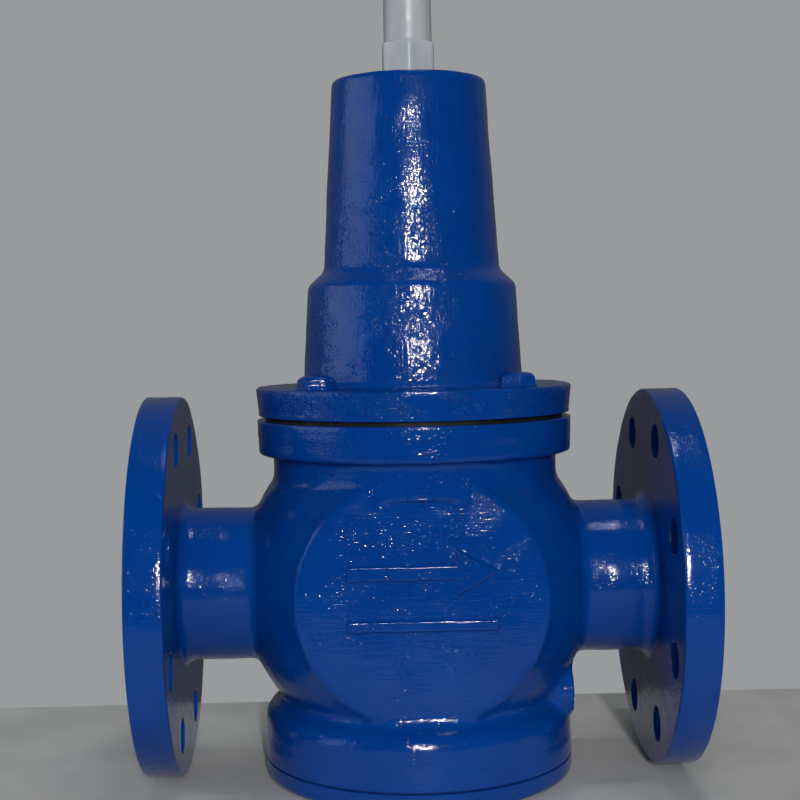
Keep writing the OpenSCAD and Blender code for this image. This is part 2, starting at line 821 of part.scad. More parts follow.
module upper_diaphragm_plate() color(steel) {
    edge = 2;
    rim_r = plate_d / 2;
    bore_r = clamp_d / 2 + rest_gap;
    spigot_r = (main_mean_d - main_wire_d) / 2 - 0.5;
    translate([0, 0, bonnet_foot_z + rest_gap]) rotate_extrude() polygon([
        [bore_r, 0], [rim_r - edge, 0], [rim_r, edge], [rim_r, plate_t - rest_gap],
        [spigot_r, plate_t - rest_gap], [spigot_r - 1, plate_t + spigot_t - rest_gap],
        [bore_r, plate_t + spigot_t - rest_gap]
    ]);
}

module diaphragm_washer() color(steel) {
    washer_d = 28;
    translate([0, 0, upper_plate_z + spigot_t])
        ring(washer_d, clamp_d + 2 * rest_gap, washer_t);
}

module diaphragm_nut() color(steel) {
    nut_af = 22;
    translate([0, 0, upper_plate_z + spigot_t + washer_t])
        nut(nut_af, clamp_d + 2 * rest_gap, diaphragm_nut_t);
}

// ---- Springs ----

module return_spring() color(spring_steel) {
    coil(return_mean_d, return_wire_d, return_turns,
        cover_t + 4 + rest_gap, port_h + holder_foot_dz - rest_gap);
}

module main_spring() color(spring_steel) {
    coil(main_mean_d, main_wire_d, main_turns, upper_plate_z + rest_gap, seat_foot_z - rest_gap);
}

// ---- Adjuster ----

module upper_spring_seat() color(steel) {
    disc_r = seat_disc_d / 2;
    spigot_r = seat_spigot_d / 2;
    difference() {
        rotate_extrude() polygon([
            [0, seat_foot_z - seat_spigot_t], [spigot_r - 1, seat_foot_z - seat_spigot_t],
            [spigot_r, seat_foot_z], [disc_r, seat_foot_z], [disc_r, seat_top_z - 2],
            [disc_r - 2, seat_top_z], [0, seat_top_z]
        ]);
        translate([0, 0, bearing_z]) sphere(d = ball_bearing_d + 2 * rest_gap);
    }
}

module thrust_ball() color(steel) {
    translate([0, 0, bearing_z]) sphere(d = ball_bearing_d);
}

module adjusting_screw() color(steel) {
    root_r = screw_d / 2 - thread_depth;
    crest_r = screw_d / 2;
    thread_foot_z = screw_tip_z + 3;
    thread_top_z = screw_end_z - drive_t;
    turns = floor((thread_top_z - thread_foot_z) / screw_pitch);
    crest = screw_pitch / 8;
    outline = concat(
        [[0, screw_tip_z], [root_r, screw_tip_z]],
        [for (i = [0 : turns - 1], p = [
            [root_r, 0], [crest_r, screw_pitch / 2 - crest], [crest_r, screw_pitch / 2 + crest]
        ]) [p[0], thread_foot_z + i * screw_pitch + p[1]]],
        [[root_r, thread_foot_z + turns * screw_pitch], [root_r, screw_end_z], [0, screw_end_z]]
    );
    difference() {
        rotate_extrude() polygon(outline);
        translate([0, 0, bearing_z]) sphere(d = ball_bearing_d + 2 * socket_gap);
        // Square for the spanner
        for (a = [0 : 90 : 270]) rotate([0, 0, a])
            translate([drive_af / 2, -screw_d, screw_end_z - drive_t + past])
                cube([screw_d, 2 * screw_d, drive_t]);
    }
}

module lock_washer() color(steel) {
    washer_d = 20.5;
    translate([0, 0, bonnet_top_z]) ring(washer_d, screw_d + 1, lock_washer_t);
}

module lock_nut() color(steel) {
    translate([0, 0, bonnet_top_z + lock_washer_t + socket_gap])
        nut(lock_nut_af, screw_d + 2 * run_gap, lock_nut_t);
}

module screw_cap() color(milky) {
    foot_z = bonnet_top_z + cap_lift_gap;
    top_z = bonnet_top_z + cap_h;
    hex_top_z = bonnet_top_z + cap_hex_h;
    tube_r = cap_tube_d / 2;
    draft = 0.3;
    crown = 3;
    roof_t = 3;
    difference() {
        union() {
            translate([0, 0, foot_z]) rotate([0, 0, 30]) hex_prism(cap_af, hex_top_z - foot_z);
            rotate_extrude() polygon([
                [0, foot_z + past], [tube_r, foot_z + past], [tube_r - draft, top_z - crown],
                [tube_r - draft - crown * 0.3, top_z - crown * 0.3],
                [tube_r - draft - crown, top_z], [0, top_z]
            ]);
        }
        translate([0, 0, foot_z - past]) cylinder(d = cap_bore_d, h = top_z - roof_t - foot_z + past);
    }
}

valve_body();
drain_plug();
seat_ring();
seat_o_ring();
guide_plate();
guide_bush();
guide_bush_o_ring();
guide_retaining_ring();
bottom_cover();
cover_gasket();
cover_screws();
bottom_guide_bush();
bonnet();
bonnet_bolts();
diaphragm();
stem();
disc_holder();
disc_seal();
disc_retainer();
disc_nut();
lower_diaphragm_plate();
upper_diaphragm_plate();
diaphragm_washer();
diaphragm_nut();
return_spring();
main_spring();
upper_spring_seat();
thrust_ball();
adjusting_screw();
lock_washer();
lock_nut();
screw_cap();
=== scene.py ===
"""Looks of a flanged pressure reducing valve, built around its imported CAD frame.

The castings are meshed here from smooth distance fields and turned outlines, so that every
junction has its cast fillet. The CAD nodes that stay hold the machined pieces inside.
Lengths in the geometry code are millimetres in the row frame; objects are in metres.
"""

import itertools
import json
import math

import bmesh
import bpy
import numpy as np
from mathutils import Matrix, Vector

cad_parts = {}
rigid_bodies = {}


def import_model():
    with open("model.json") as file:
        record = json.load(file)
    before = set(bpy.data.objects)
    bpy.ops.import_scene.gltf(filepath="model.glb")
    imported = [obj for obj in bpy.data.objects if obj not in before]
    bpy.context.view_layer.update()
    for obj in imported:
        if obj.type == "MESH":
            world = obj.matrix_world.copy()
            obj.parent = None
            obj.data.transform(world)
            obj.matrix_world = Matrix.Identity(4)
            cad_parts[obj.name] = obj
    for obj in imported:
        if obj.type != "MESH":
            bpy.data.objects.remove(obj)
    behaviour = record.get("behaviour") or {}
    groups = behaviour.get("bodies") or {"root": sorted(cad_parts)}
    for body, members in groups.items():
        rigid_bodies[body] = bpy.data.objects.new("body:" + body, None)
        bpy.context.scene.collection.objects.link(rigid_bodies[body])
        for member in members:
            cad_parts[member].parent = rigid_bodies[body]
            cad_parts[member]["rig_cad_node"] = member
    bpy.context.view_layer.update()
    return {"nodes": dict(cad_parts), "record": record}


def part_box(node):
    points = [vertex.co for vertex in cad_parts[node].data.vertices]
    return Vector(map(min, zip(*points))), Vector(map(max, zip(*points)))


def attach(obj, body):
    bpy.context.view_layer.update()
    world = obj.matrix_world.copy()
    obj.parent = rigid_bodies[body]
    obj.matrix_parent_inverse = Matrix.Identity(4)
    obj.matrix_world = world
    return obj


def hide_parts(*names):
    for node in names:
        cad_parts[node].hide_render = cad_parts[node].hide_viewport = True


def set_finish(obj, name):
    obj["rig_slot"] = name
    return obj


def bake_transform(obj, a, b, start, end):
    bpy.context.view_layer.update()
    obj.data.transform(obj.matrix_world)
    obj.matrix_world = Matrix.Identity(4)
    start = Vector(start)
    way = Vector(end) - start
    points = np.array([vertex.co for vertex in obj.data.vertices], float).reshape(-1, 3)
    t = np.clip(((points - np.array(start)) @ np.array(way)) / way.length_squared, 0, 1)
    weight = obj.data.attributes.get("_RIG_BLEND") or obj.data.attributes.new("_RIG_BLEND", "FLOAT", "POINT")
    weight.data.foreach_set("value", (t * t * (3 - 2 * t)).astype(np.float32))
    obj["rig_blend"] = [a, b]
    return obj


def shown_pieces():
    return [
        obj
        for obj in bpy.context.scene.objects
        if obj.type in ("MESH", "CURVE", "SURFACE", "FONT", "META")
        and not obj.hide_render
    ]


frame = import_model()

MM = 0.001


# ---- Dimensions, from the frame ----


def box_mm(node):
    """Lowest and highest corner of a CAD node, in millimetres."""
    low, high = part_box(node)
    return np.array(low) / MM, np.array(high) / MM


mounts = {m["name"]: m for m in frame["record"]["mounts"]}
PORT_Z = mounts["outlet_bore"]["pos_m"][2] / MM
BORE_R = mounts["outlet_bore"]["dims"]["r_mm"]
BOLT_HOLE_R = mounts["outlet_bolts"]["dims"]["hole_r_mm"]
FLANGE_PCD_R = mounts["outlet_bolts"]["dims"]["pcd_mm"] / 2
FLANGE_BOLTS = mounts["outlet_bolts"]["dims"]["count"]
RIM_X = mounts["outlet_bolts"]["pos_m"][0] / MM
FACE_X = box_mm("valve_body")[1][0]
FLANGE_R = box_mm("valve_body")[1][2] - PORT_Z
BODY_TOP_Z = box_mm("diaphragm")[0][2]
BODY_FOOT_Z = box_mm("cover_gasket")[1][2]
COVER_TOP_Z = box_mm("cover_gasket")[0][2]
BONNET_FOOT_Z = box_mm("bonnet")[0][2]
BONNET_TOP_Z = box_mm("bonnet")[1][2]
BONNET_RIM_R = box_mm("bonnet")[1][0]
COVER_R = box_mm("bottom_cover")[1][0]
CAP_TOP_Z = box_mm("screw_cap")[1][2]

# Cast body, as heights above the port axis where a name ends in DZ
FLANGE_IN_X = RIM_X - 19
RAISED_R = 66
THROAT_R = 33
NECK_R = 40.5
NECK_FILLET = 6
BORE_END_X = FACE_X - 20
THROAT_X = BORE_END_X - 14
BALL_R = 94
PAD_Y, PAD_R = 73, 62
CAVITY_R = 86
CAVITY_Y = 65
COLLAR_R = 75.5
RIM_R = 83.3
RIM_FOOT_DZ = 68.5
SKIRT_R = 82
SKIRT_TOP_DZ = -61
SKIRT_ROUND = 11
BOTTOM_BORE_R = 52
SHELF_DZ = 46
SUMP_DZ = -56
GUIDE_SEAT_DZ = 55
OPENING_R = 50
CHAMBER_R = 54
DRAIN_Y, DRAIN_DZ = -22, -56.5
DRAIN_R, DRAIN_FACE_X = 13, 80.5
WEB_HOLE_R = 36
WEB = [(-60, 60), (-42, 7), (50, 7), (73, -60), (60, -60), (42, -3), (-50, -3), (-73, 60)]
MARK_T = 1.2

# Bolting round the stem
BOLT_R, BOLT_AF, BOLT_HEAD_T = 5, 17, 7
BONNET_PCD_R = 71
COVER_PCD_R = 66
BOLT_ANGLES = [math.radians(45 + 90 * i) for i in range(4)]

# Bonnet
BONNET_FACE_Z = BONNET_FOOT_Z + 15.3
BONNET_FOOT_R, BONNET_WAIST_R = 58.9, 55.5
SHOULDER_Z = PORT_Z + 163
CONE_R, CONE_TOP_R = 47.3, 40.8
SPRING_ROOM_R = 50
BONNET_ROOF_Z = BONNET_TOP_Z - 22
VENT_Z, VENT_R = BONNET_FACE_Z + 14, 3

# Adjuster
SCREW_R, SCREW_PITCH = 6, 1.75
CAP_FOOT_Z = box_mm("screw_cap")[0][2]
CAP_HEX_TOP_Z = BONNET_TOP_Z + 19
CAP_AF = 27
CAP_BORE_R = 11.2


# ---- Fields and noise ----


def lattice_noise(points, cell, seed):
    """Smooth noise from -1 to 1 at each of the points (n, 3), with lattice step cell."""
    scaled = np.asarray(points, float) / cell
    base = np.floor(scaled).astype(np.int64)
    part = scaled - base
    ease = part * part * part * (part * (part * 6 - 15) + 10)
    total = np.zeros(len(scaled))
    for corner in itertools.product((0, 1), repeat=3):
        key = ((base + corner) * (73856093, 19349663, 83492791)).sum(axis=1) + seed * 7919
        key = (key ^ (key >> 13)) * 1274126177
        key = (key ^ (key >> 16)) & 0xFFFF
        weight = np.where(corner, ease, 1 - ease).prod(axis=1)
        total += (key / 32767.5 - 1) * weight
    return total


def smooth_min(a, b, radius):
    """Union of two distance fields with a fillet of that radius between them."""
    return np.maximum(radius, np.minimum(a, b)) - np.hypot(
        np.maximum(radius - a, 0), np.maximum(radius - b, 0)
    )


def smooth_max(a, b, radius):
    """Intersection of two distance fields with a round of that radius between them."""
    return -smooth_min(-a, -b, radius)


def polygon_distance(u, v, corners):
    """Signed distance from each (u, v) to a closed polygon, negative inside."""
    nearest = np.full(np.shape(u), 1e9)
    inside = np.zeros(np.shape(u), bool)
    for (au, av), (bu, bv) in zip(corners, corners[1:] + corners[:1]):
        eu, ev = bu - au, bv - av
        t = np.clip(((u - au) * eu + (v - av) * ev) / (eu * eu + ev * ev), 0, 1)
        nearest = np.minimum(nearest, np.hypot(u - au - t * eu, v - av - t * ev))
        crosses = (av > v) != (bv > v)
        with np.errstate(divide="ignore", invalid="ignore"):
            inside ^= crosses & (u < au + (v - av) * eu / ev) if ev else False
    return np.where(inside, -nearest, nearest)


def surface_net(field, low, high, step, rounds=6):
    """Vertices and quads of a field's zero level between two corners, evened out and put back
    exactly on the level. Where the level runs out of the box, its edge lies in the last layer of
    cells, half a step inside the box's side."""
    low, high = np.array(low, float), np.array(high, float)
    counts = np.round((high - low) / step).astype(int) + 1
    axes = [low[i] + step * np.arange(counts[i]) for i in range(3)]
    grid = np.stack(np.meshgrid(*axes, indexing="ij"), axis=-1).reshape(-1, 3)
    value = np.empty(len(grid))
    for start in range(0, len(grid), 400000):
        value[start : start + 400000] = field(grid[start : start + 400000])
    solid = (value < 0).reshape(counts)
    corners = [
        solid[tuple(slice(c, n - 1 + c) for c, n in zip(corner, counts))]
        for corner in itertools.product((0, 1), repeat=3)
    ]
    full = np.logical_and.reduce(corners)
    mixed = np.logical_or.reduce(corners) & ~full
    cells = np.argwhere(mixed)
    index = np.full(mixed.shape, -1)
    index[tuple(cells.T)] = np.arange(len(cells))
    points = low + (cells + 0.5) * step

    quads = []
    for a in range(3):
        u, v = (a + 1) % 3, (a + 2) % 3
        first, second = [slice(None)] * 3, [slice(None)] * 3
        first[a], second[a] = slice(0, -1), slice(1, None)
        change = solid[tuple(first)] != solid[tuple(second)]
        inner = np.zeros_like(change)
        keep = [slice(None)] * 3
        keep[u], keep[v] = slice(1, -1), slice(1, -1)
        inner[tuple(keep)] = True
        nodes = np.argwhere(change & inner)
        outward = solid[tuple(first)][tuple(nodes.T)]
        offset_u, offset_v = np.eye(3, dtype=int)[u], np.eye(3, dtype=int)[v]
        ring = [nodes - offset_u - offset_v, nodes - offset_v, nodes, nodes - offset_u]
        quad = np.stack([index[tuple(c.T)] for c in ring], axis=1)
        quad[~outward] = quad[~outward][:, ::-1]
        quads.append(quad)
    quads = np.concatenate(quads)

    edges = np.concatenate([quads[:, [i, (i + 1) % 4]] for i in range(4)])
    edges.sort(axis=1)
    pairs, uses = np.unique(edges, axis=0, return_counts=True)
    rim_pairs = pairs[uses == 1]
    on_rim = np.zeros(len(points), bool)
    on_rim[rim_pairs.ravel()] = True
    last = [(cells[:, i] == 0) | (cells[:, i] == mixed.shape[i] - 1) for i in range(3)]
    fixed = np.stack(last, axis=1) & on_rim[:, None]

    def relaxed(links, movable):
        total, count = np.zeros_like(points), np.zeros(len(points))
        for here, there in ((links[:, 0], links[:, 1]), (links[:, 1], links[:, 0])):
            np.add.at(total, here, points[there])
            np.add.at(count, here, 1)
        moved = movable & (count > 0)
        points[moved] += 0.6 * (total[moved] / count[moved, None] - points[moved])

    tiny = step * 0.02
    rest = points.copy()
    for _ in range(rounds):
        relaxed(pairs, ~on_rim)
        relaxed(rim_pairs, on_rim)
        for _ in range(2):
            slope = np.stack(
                [
                    (field(points + tiny * unit) - field(points - tiny * unit)) / (2 * tiny)
                    for unit in np.eye(3)
                ],
                axis=1,
            )
            slope[fixed] = 0
            length = np.maximum((slope * slope).sum(axis=1), 0.2)
            shift = -slope * (field(points) / length)[:, None]
            points += np.clip(shift, -step, step)
        points[fixed] = rest[fixed]
    return points, quads.tolist()


# ---- Turned outlines ----


def rounded_path(corners, step):
    """Points along a polyline of (axial, radial, fillet radius), at most step apart; a corner
    with a fillet radius is turned into an arc."""
    corners = [tuple(c) for c in corners]
    track = [np.array(corners[0][:2], float)]
    for before, here, after in zip(corners, corners[1:], corners[2:]):
        p, radius = np.array(here[:2], float), here[2]
        to_before = np.array(before[:2], float) - p
        to_after = np.array(after[:2], float) - p
        reach_before, reach_after = np.linalg.norm(to_before), np.linalg.norm(to_after)
        to_before, to_after = to_before / reach_before, to_after / reach_after
        angle = math.acos(np.clip(to_before @ to_after, -1, 1))
        if radius <= 0 or angle > math.pi - 0.02:
            track.append(p)
            continue
        back = min(radius / math.tan(angle / 2), 0.49 * reach_before, 0.49 * reach_after)
        radius = back * math.tan(angle / 2)
        middle = to_before + to_after
        centre = p + middle / np.linalg.norm(middle) * radius / math.sin(angle / 2)
        start, end = p + to_before * back - centre, p + to_after * back - centre
        turn = math.atan2(start[0] * end[1] - start[1] * end[0], start @ end)
        pieces = max(3, math.ceil(abs(turn) * radius / step))
        for i in range(pieces + 1):
            c, s = math.cos(turn * i / pieces), math.sin(turn * i / pieces)
            track.append(centre + np.array([start[0] * c - start[1] * s, start[0] * s + start[1] * c]))
    track.append(np.array(corners[-1][:2], float))
    path = [track[0]]
    for here in track[1:]:
        gap = np.linalg.norm(here - path[-1])
        if gap < 1e-6:
            continue
        pieces = max(1, math.ceil(gap / step - 1e-6))
        origin = path[-1]
        path.extend(origin + (here - origin) * i / pieces for i in range(1, pieces + 1))
    return np.array(path)


class Shell:
    """A mesh in the making: points, how rough the cast skin is at each, and faces."""

    def __init__(self):
        self.points, self.skin, self.faces, self.count = [], [], [], 0

    def add(self, points, skin=0.0):
        """New points; gives their indices."""
        points = np.asarray(points, float).reshape(-1, 3)
        self.points.append(points)
        self.skin.append(np.broadcast_to(np.asarray(skin, float), len(points)))
        first, self.count = self.count, self.count + len(points)
        return np.arange(first, self.count)

    def strip(self, ring, other):
        """Quads between two closed rings of equal length."""
        for i in range(len(ring)):
            k = (i + 1) % len(ring)
            self.faces.append((ring[i], ring[k], other[k], other[i]))

    def fan(self, ring, centre):
        """Triangles from a closed ring to one point."""
        for i in range(len(ring)):
            self.faces.append((ring[i], ring[(i + 1) % len(ring)], centre))

    def zip(self, ring, angles, other, other_angles):
        """Triangles between two closed rings of any length, both by rising angle."""
        start = int(np.argmin(np.abs((other_angles - angles[0] + math.pi) % math.tau - math.pi)))
        other, other_angles = np.roll(other, -start), np.roll(other_angles, -start)
        offset = (other_angles[0] - angles[0] + math.pi) % math.tau - math.pi
        a = np.append((angles - angles[0]) % math.tau, math.tau)
        b = np.append(offset + (other_angles - other_angles[0]) % math.tau, offset + math.tau)
        i = j = 0
        while i < len(ring) or j < len(other):
            here, there = ring[i % len(ring)], other[j % len(other)]
            if j == len(other) or (i < len(ring) and a[i + 1] <= b[j + 1]):
                i += 1
                self.faces.append((here, ring[i % len(ring)], there))
            else:
                j += 1
                self.faces.append((here, other[j % len(other)], there))

    def mesh(self, name, noise=None):
        """A Blender mesh in metres, its normals outward, moved along them by noise(points) times
        the roughness of the skin."""
        points, skin = np.concatenate(self.points), np.concatenate(self.skin)
        data = bpy.data.meshes.new(name)
        data.from_pydata((points * MM).tolist(), [], [tuple(int(i) for i in f) for f in self.faces])
        tidy = bmesh.new()
        tidy.from_mesh(data)
        bmesh.ops.recalc_face_normals(tidy, faces=tidy.faces)
        tidy.to_mesh(data)
        tidy.free()
        if noise is not None:
            normals = np.empty(len(points) * 3)
            data.vertex_normals.foreach_get("vector", normals)
            points = points + normals.reshape(-1, 3) * (noise(points) * skin)[:, None]
            data.vertices.foreach_set("co", (points * MM).ravel())
        data.update()
        return data


def smooth(data, degrees=35):
    """Smooth shading, with sharp edges above an angle."""
    data.shade_smooth()
    data.set_sharp_from_angle(angle=math.radians(degrees))
    return data


def ring_points(z, r, angles):
    """A ring about the vertical axis at height z; r is one radius or one for each angle."""
    return np.column_stack([np.cos(angles) * r, np.sin(angles) * r, np.full(len(angles), z)])


def lathe(name, path, count, skin=None, noise=None, closed=False):
    """A closed turned mesh. Ends of the path on the axis are closed by a fan; a closed path, such
    as a ring's section, joins its end to its start."""
    shell = Shell()
    rings = []
    angles = np.arange(count) * math.tau / count
    for i, (z, r) in enumerate(path):
        here = 0.0 if skin is None else skin[i]
        if r < 1e-6:
            rings.append(shell.add([(0, 0, z)], here))
        else:
            rings.append(shell.add(ring_points(z, r, angles), here))
    if closed:
        rings.append(rings[0])
    for ring, other in zip(rings, rings[1:]):
        if len(ring) == 1:
            shell.fan(other, ring[0])
        elif len(other) == 1:
            shell.fan(ring, other[0])
        else:
            shell.strip(ring, other)
    return shell.mesh(name, noise)


def joined(name, meshes):
    """One mesh of several, each of them removed."""
    whole = bmesh.new()
    for data in meshes:
        whole.from_mesh(data)
    result = bpy.data.meshes.new(name)
    whole.to_mesh(result)
    whole.free()
    for data in meshes:
        bpy.data.meshes.remove(data)
    return result


def cutter(path, count, place):
    """A turned solid from a path of (axial, radial) in millimetres, moved by a matrix."""
    data = lathe("cutter", path, count)
    data.transform(place)
    return data


def cut(obj, cutters):
    """Takes the cutters' volume out of an object and leaves a plain mesh."""
    tool = bpy.data.objects.new("cutters", joined("cutters", cutters))
    bpy.context.scene.collection.objects.link(tool)
    modifier = obj.modifiers.new("cut", "BOOLEAN")
    modifier.object, modifier.operation, modifier.solver = tool, "DIFFERENCE", "MANIFOLD"
    graph = bpy.context.evaluated_depsgraph_get()
    result = bpy.data.meshes.new_from_object(obj.evaluated_get(graph))
    obj.modifiers.clear()
    before, obj.data = obj.data, result
    result.name = before.name
    bpy.data.meshes.remove(before)
    bpy.data.objects.remove(tool)
    return obj


def hole(radius, low, high, flare=0.8):
    """Outline of a cutter for a through hole, from low to high, with a small chamfer at both."""
    past = 2
    return [
        (low - past, 0), (low - past, radius + flare + past), (low, radius + flare),
        (low + flare, radius), (high - flare, radius), (high, radius + flare),
        (high + past, radius + flare + past), (high + past, 0),
    ]


def blind_hole(radius, mouth, end, flare=0.6):
    """Outline of a cutter for a drilled hole that opens at mouth and ends in a cone at end."""
    way = 1 if mouth > end else -1
    past = 2 * way
    return [
        (mouth + past, 0), (mouth + past, radius + flare + 2), (mouth, radius + flare),
        (mouth - flare * way, radius), (end, radius), (end - radius * 0.55 * way, 0),
    ]


def upright(x, y):
    """Moves a cutter from the vertical axis to (x, y)."""
    return Matrix.Translation((x * MM, y * MM, 0))


def along_x(y, z):
    """Turns a cutter's axis from +Z to +X and moves it to (y, z)."""
    return Matrix.Translation((0, y * MM, z * MM)) @ Matrix.Rotation(math.pi / 2, 4, "Y")


def made(name, data, body, slot, *replaced):
    """An object from a mesh, riding on a CAD body, in place of CAD nodes."""
    obj = bpy.data.objects.new(name, data)
    bpy.context.scene.collection.objects.link(obj)
    if body:
        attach(obj, body)
    if replaced:
        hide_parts(*replaced)
    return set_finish(obj, slot)


# ---- Cast body ----


def ball_field(p):
    """Distance to the body's outside, up to the planes where its turned ends start."""
    x, y, z = p[:, 0], p[:, 1], p[:, 2] - PORT_Z
    round_z = np.hypot(x, y)
    ball = np.sqrt(x * x + y * y + z * z) - BALL_R
    ball = np.maximum(ball, np.abs(y) - 70)
    depth = np.abs(y) - PAD_Y
    disc = np.hypot(x, z)
    crown = 1.2 * np.clip((disc - 40) / (PAD_R - 40), 0, 1.2) ** 2
    pad = smooth_max((disc - PAD_R + depth * 0.5) * 0.89, depth + crown, 1.8)
    ball = smooth_min(ball, np.maximum(pad, 50 - np.abs(y)), 2.2)
    collar = np.maximum(round_z - COLLAR_R, 50 - z)
    rim = smooth_max(round_z - RIM_R, RIM_FOOT_DZ - z, 2.6)
    top = smooth_min(collar, rim, 3.0)
    skirt = smooth_max(round_z - SKIRT_R, z - SKIRT_TOP_DZ, SKIRT_ROUND - 0.5)
    neck = np.hypot(y, z) - NECK_R
    boss = np.hypot(y - DRAIN_Y, z - DRAIN_DZ) - DRAIN_R
    boss = smooth_max(np.maximum(boss, 40 - x), x - DRAIN_FACE_X, 1.0)
    solid = smooth_min(ball, top, 1.6)
    solid = smooth_min(solid, skirt, 5.0)
    solid = smooth_min(solid, boss, 3.0)
    return smooth_min(solid, neck, 2.8)


def room_field(p):
    """Distance to the space inside the body, positive in the metal."""
    x, y, z = p[:, 0], p[:, 1], p[:, 2] - PORT_Z
    round_z = np.hypot(x, y)
    room = np.sqrt(x * x + y * y + z * z) - CAVITY_R
    room = smooth_max(room, np.abs(y) - CAVITY_Y, 5.0)
    room = smooth_max(room, np.maximum(z - SHELF_DZ, SUMP_DZ - z), 4.0)
    web = polygon_distance(x, z, WEB)
    web = smooth_max(web, WEB_HOLE_R - round_z, 0.8)
    room = smooth_max(room, -web, 4.0)
    throat = np.maximum(np.hypot(y, z) - THROAT_R, 55 - np.abs(x))
    opening = np.maximum(round_z - OPENING_R, 42 - z)
    sump = np.maximum(round_z - BOTTOM_BORE_R, z + 52)
    room = smooth_min(room, throat, 4.0)
    room = smooth_min(room, opening, 1.5)
    return smooth_min(room, sump, 1.5)


def edge_loops(quads):
    """Closed loops of vertex indices along the open edges of a quad mesh."""
    quads = np.array(quads)
    edges = np.concatenate([quads[:, [i, (i + 1) % 4]] for i in range(4)])
    known = set(map(tuple, edges.tolist()))
    follows = {a: b for a, b in known if (b, a) not in known}
    loops = []
    while follows:
        start, here = next(iter(follows.items()))
        loop = [start]
        del follows[start]
        while here != start:
            loop.append(here)
            here = follows.pop(here)
        loops.append(np.array(loop))
    return loops


class End:
    """One open end of a net: its loop by rising angle about its axis, snapped to a circle."""

    def __init__(self, shell_indices, points, axis, plane, radius):
        self.axis, self.plane, self.ring = axis, plane, shell_indices
        u, v = (points[:, 1], points[:, 2] - PORT_Z) if axis == 0 else (points[:, 0], points[:, 1])
        angles = np.unwrap(np.arctan2(v, u))
        if angles[-1] < angles[0]:
            self.ring, angles = self.ring[::-1], angles[::-1]
        self.angles = angles % math.tau
        start = int(np.argmin(self.angles))
        self.ring, self.angles = np.roll(self.ring, -start), np.roll(self.angles, -start)
        self.radius = radius

    def circle(self, axial, radius, evenness):
        """Points of a ring at that height and radius; evenness 1 spaces them evenly."""
        even = np.arange(len(self.angles)) * math.tau / len(self.angles)
        even += np.mean(self.angles - even)
        turn = self.angles + (even - self.angles) * evenness
        c, s = radius * np.cos(turn), radius * np.sin(turn)
        if self.axis == 0:
            return np.column_stack([np.full(len(c), axial), c, PORT_Z + s]), turn
        return np.column_stack([c, s, np.full(len(c), axial)]), turn


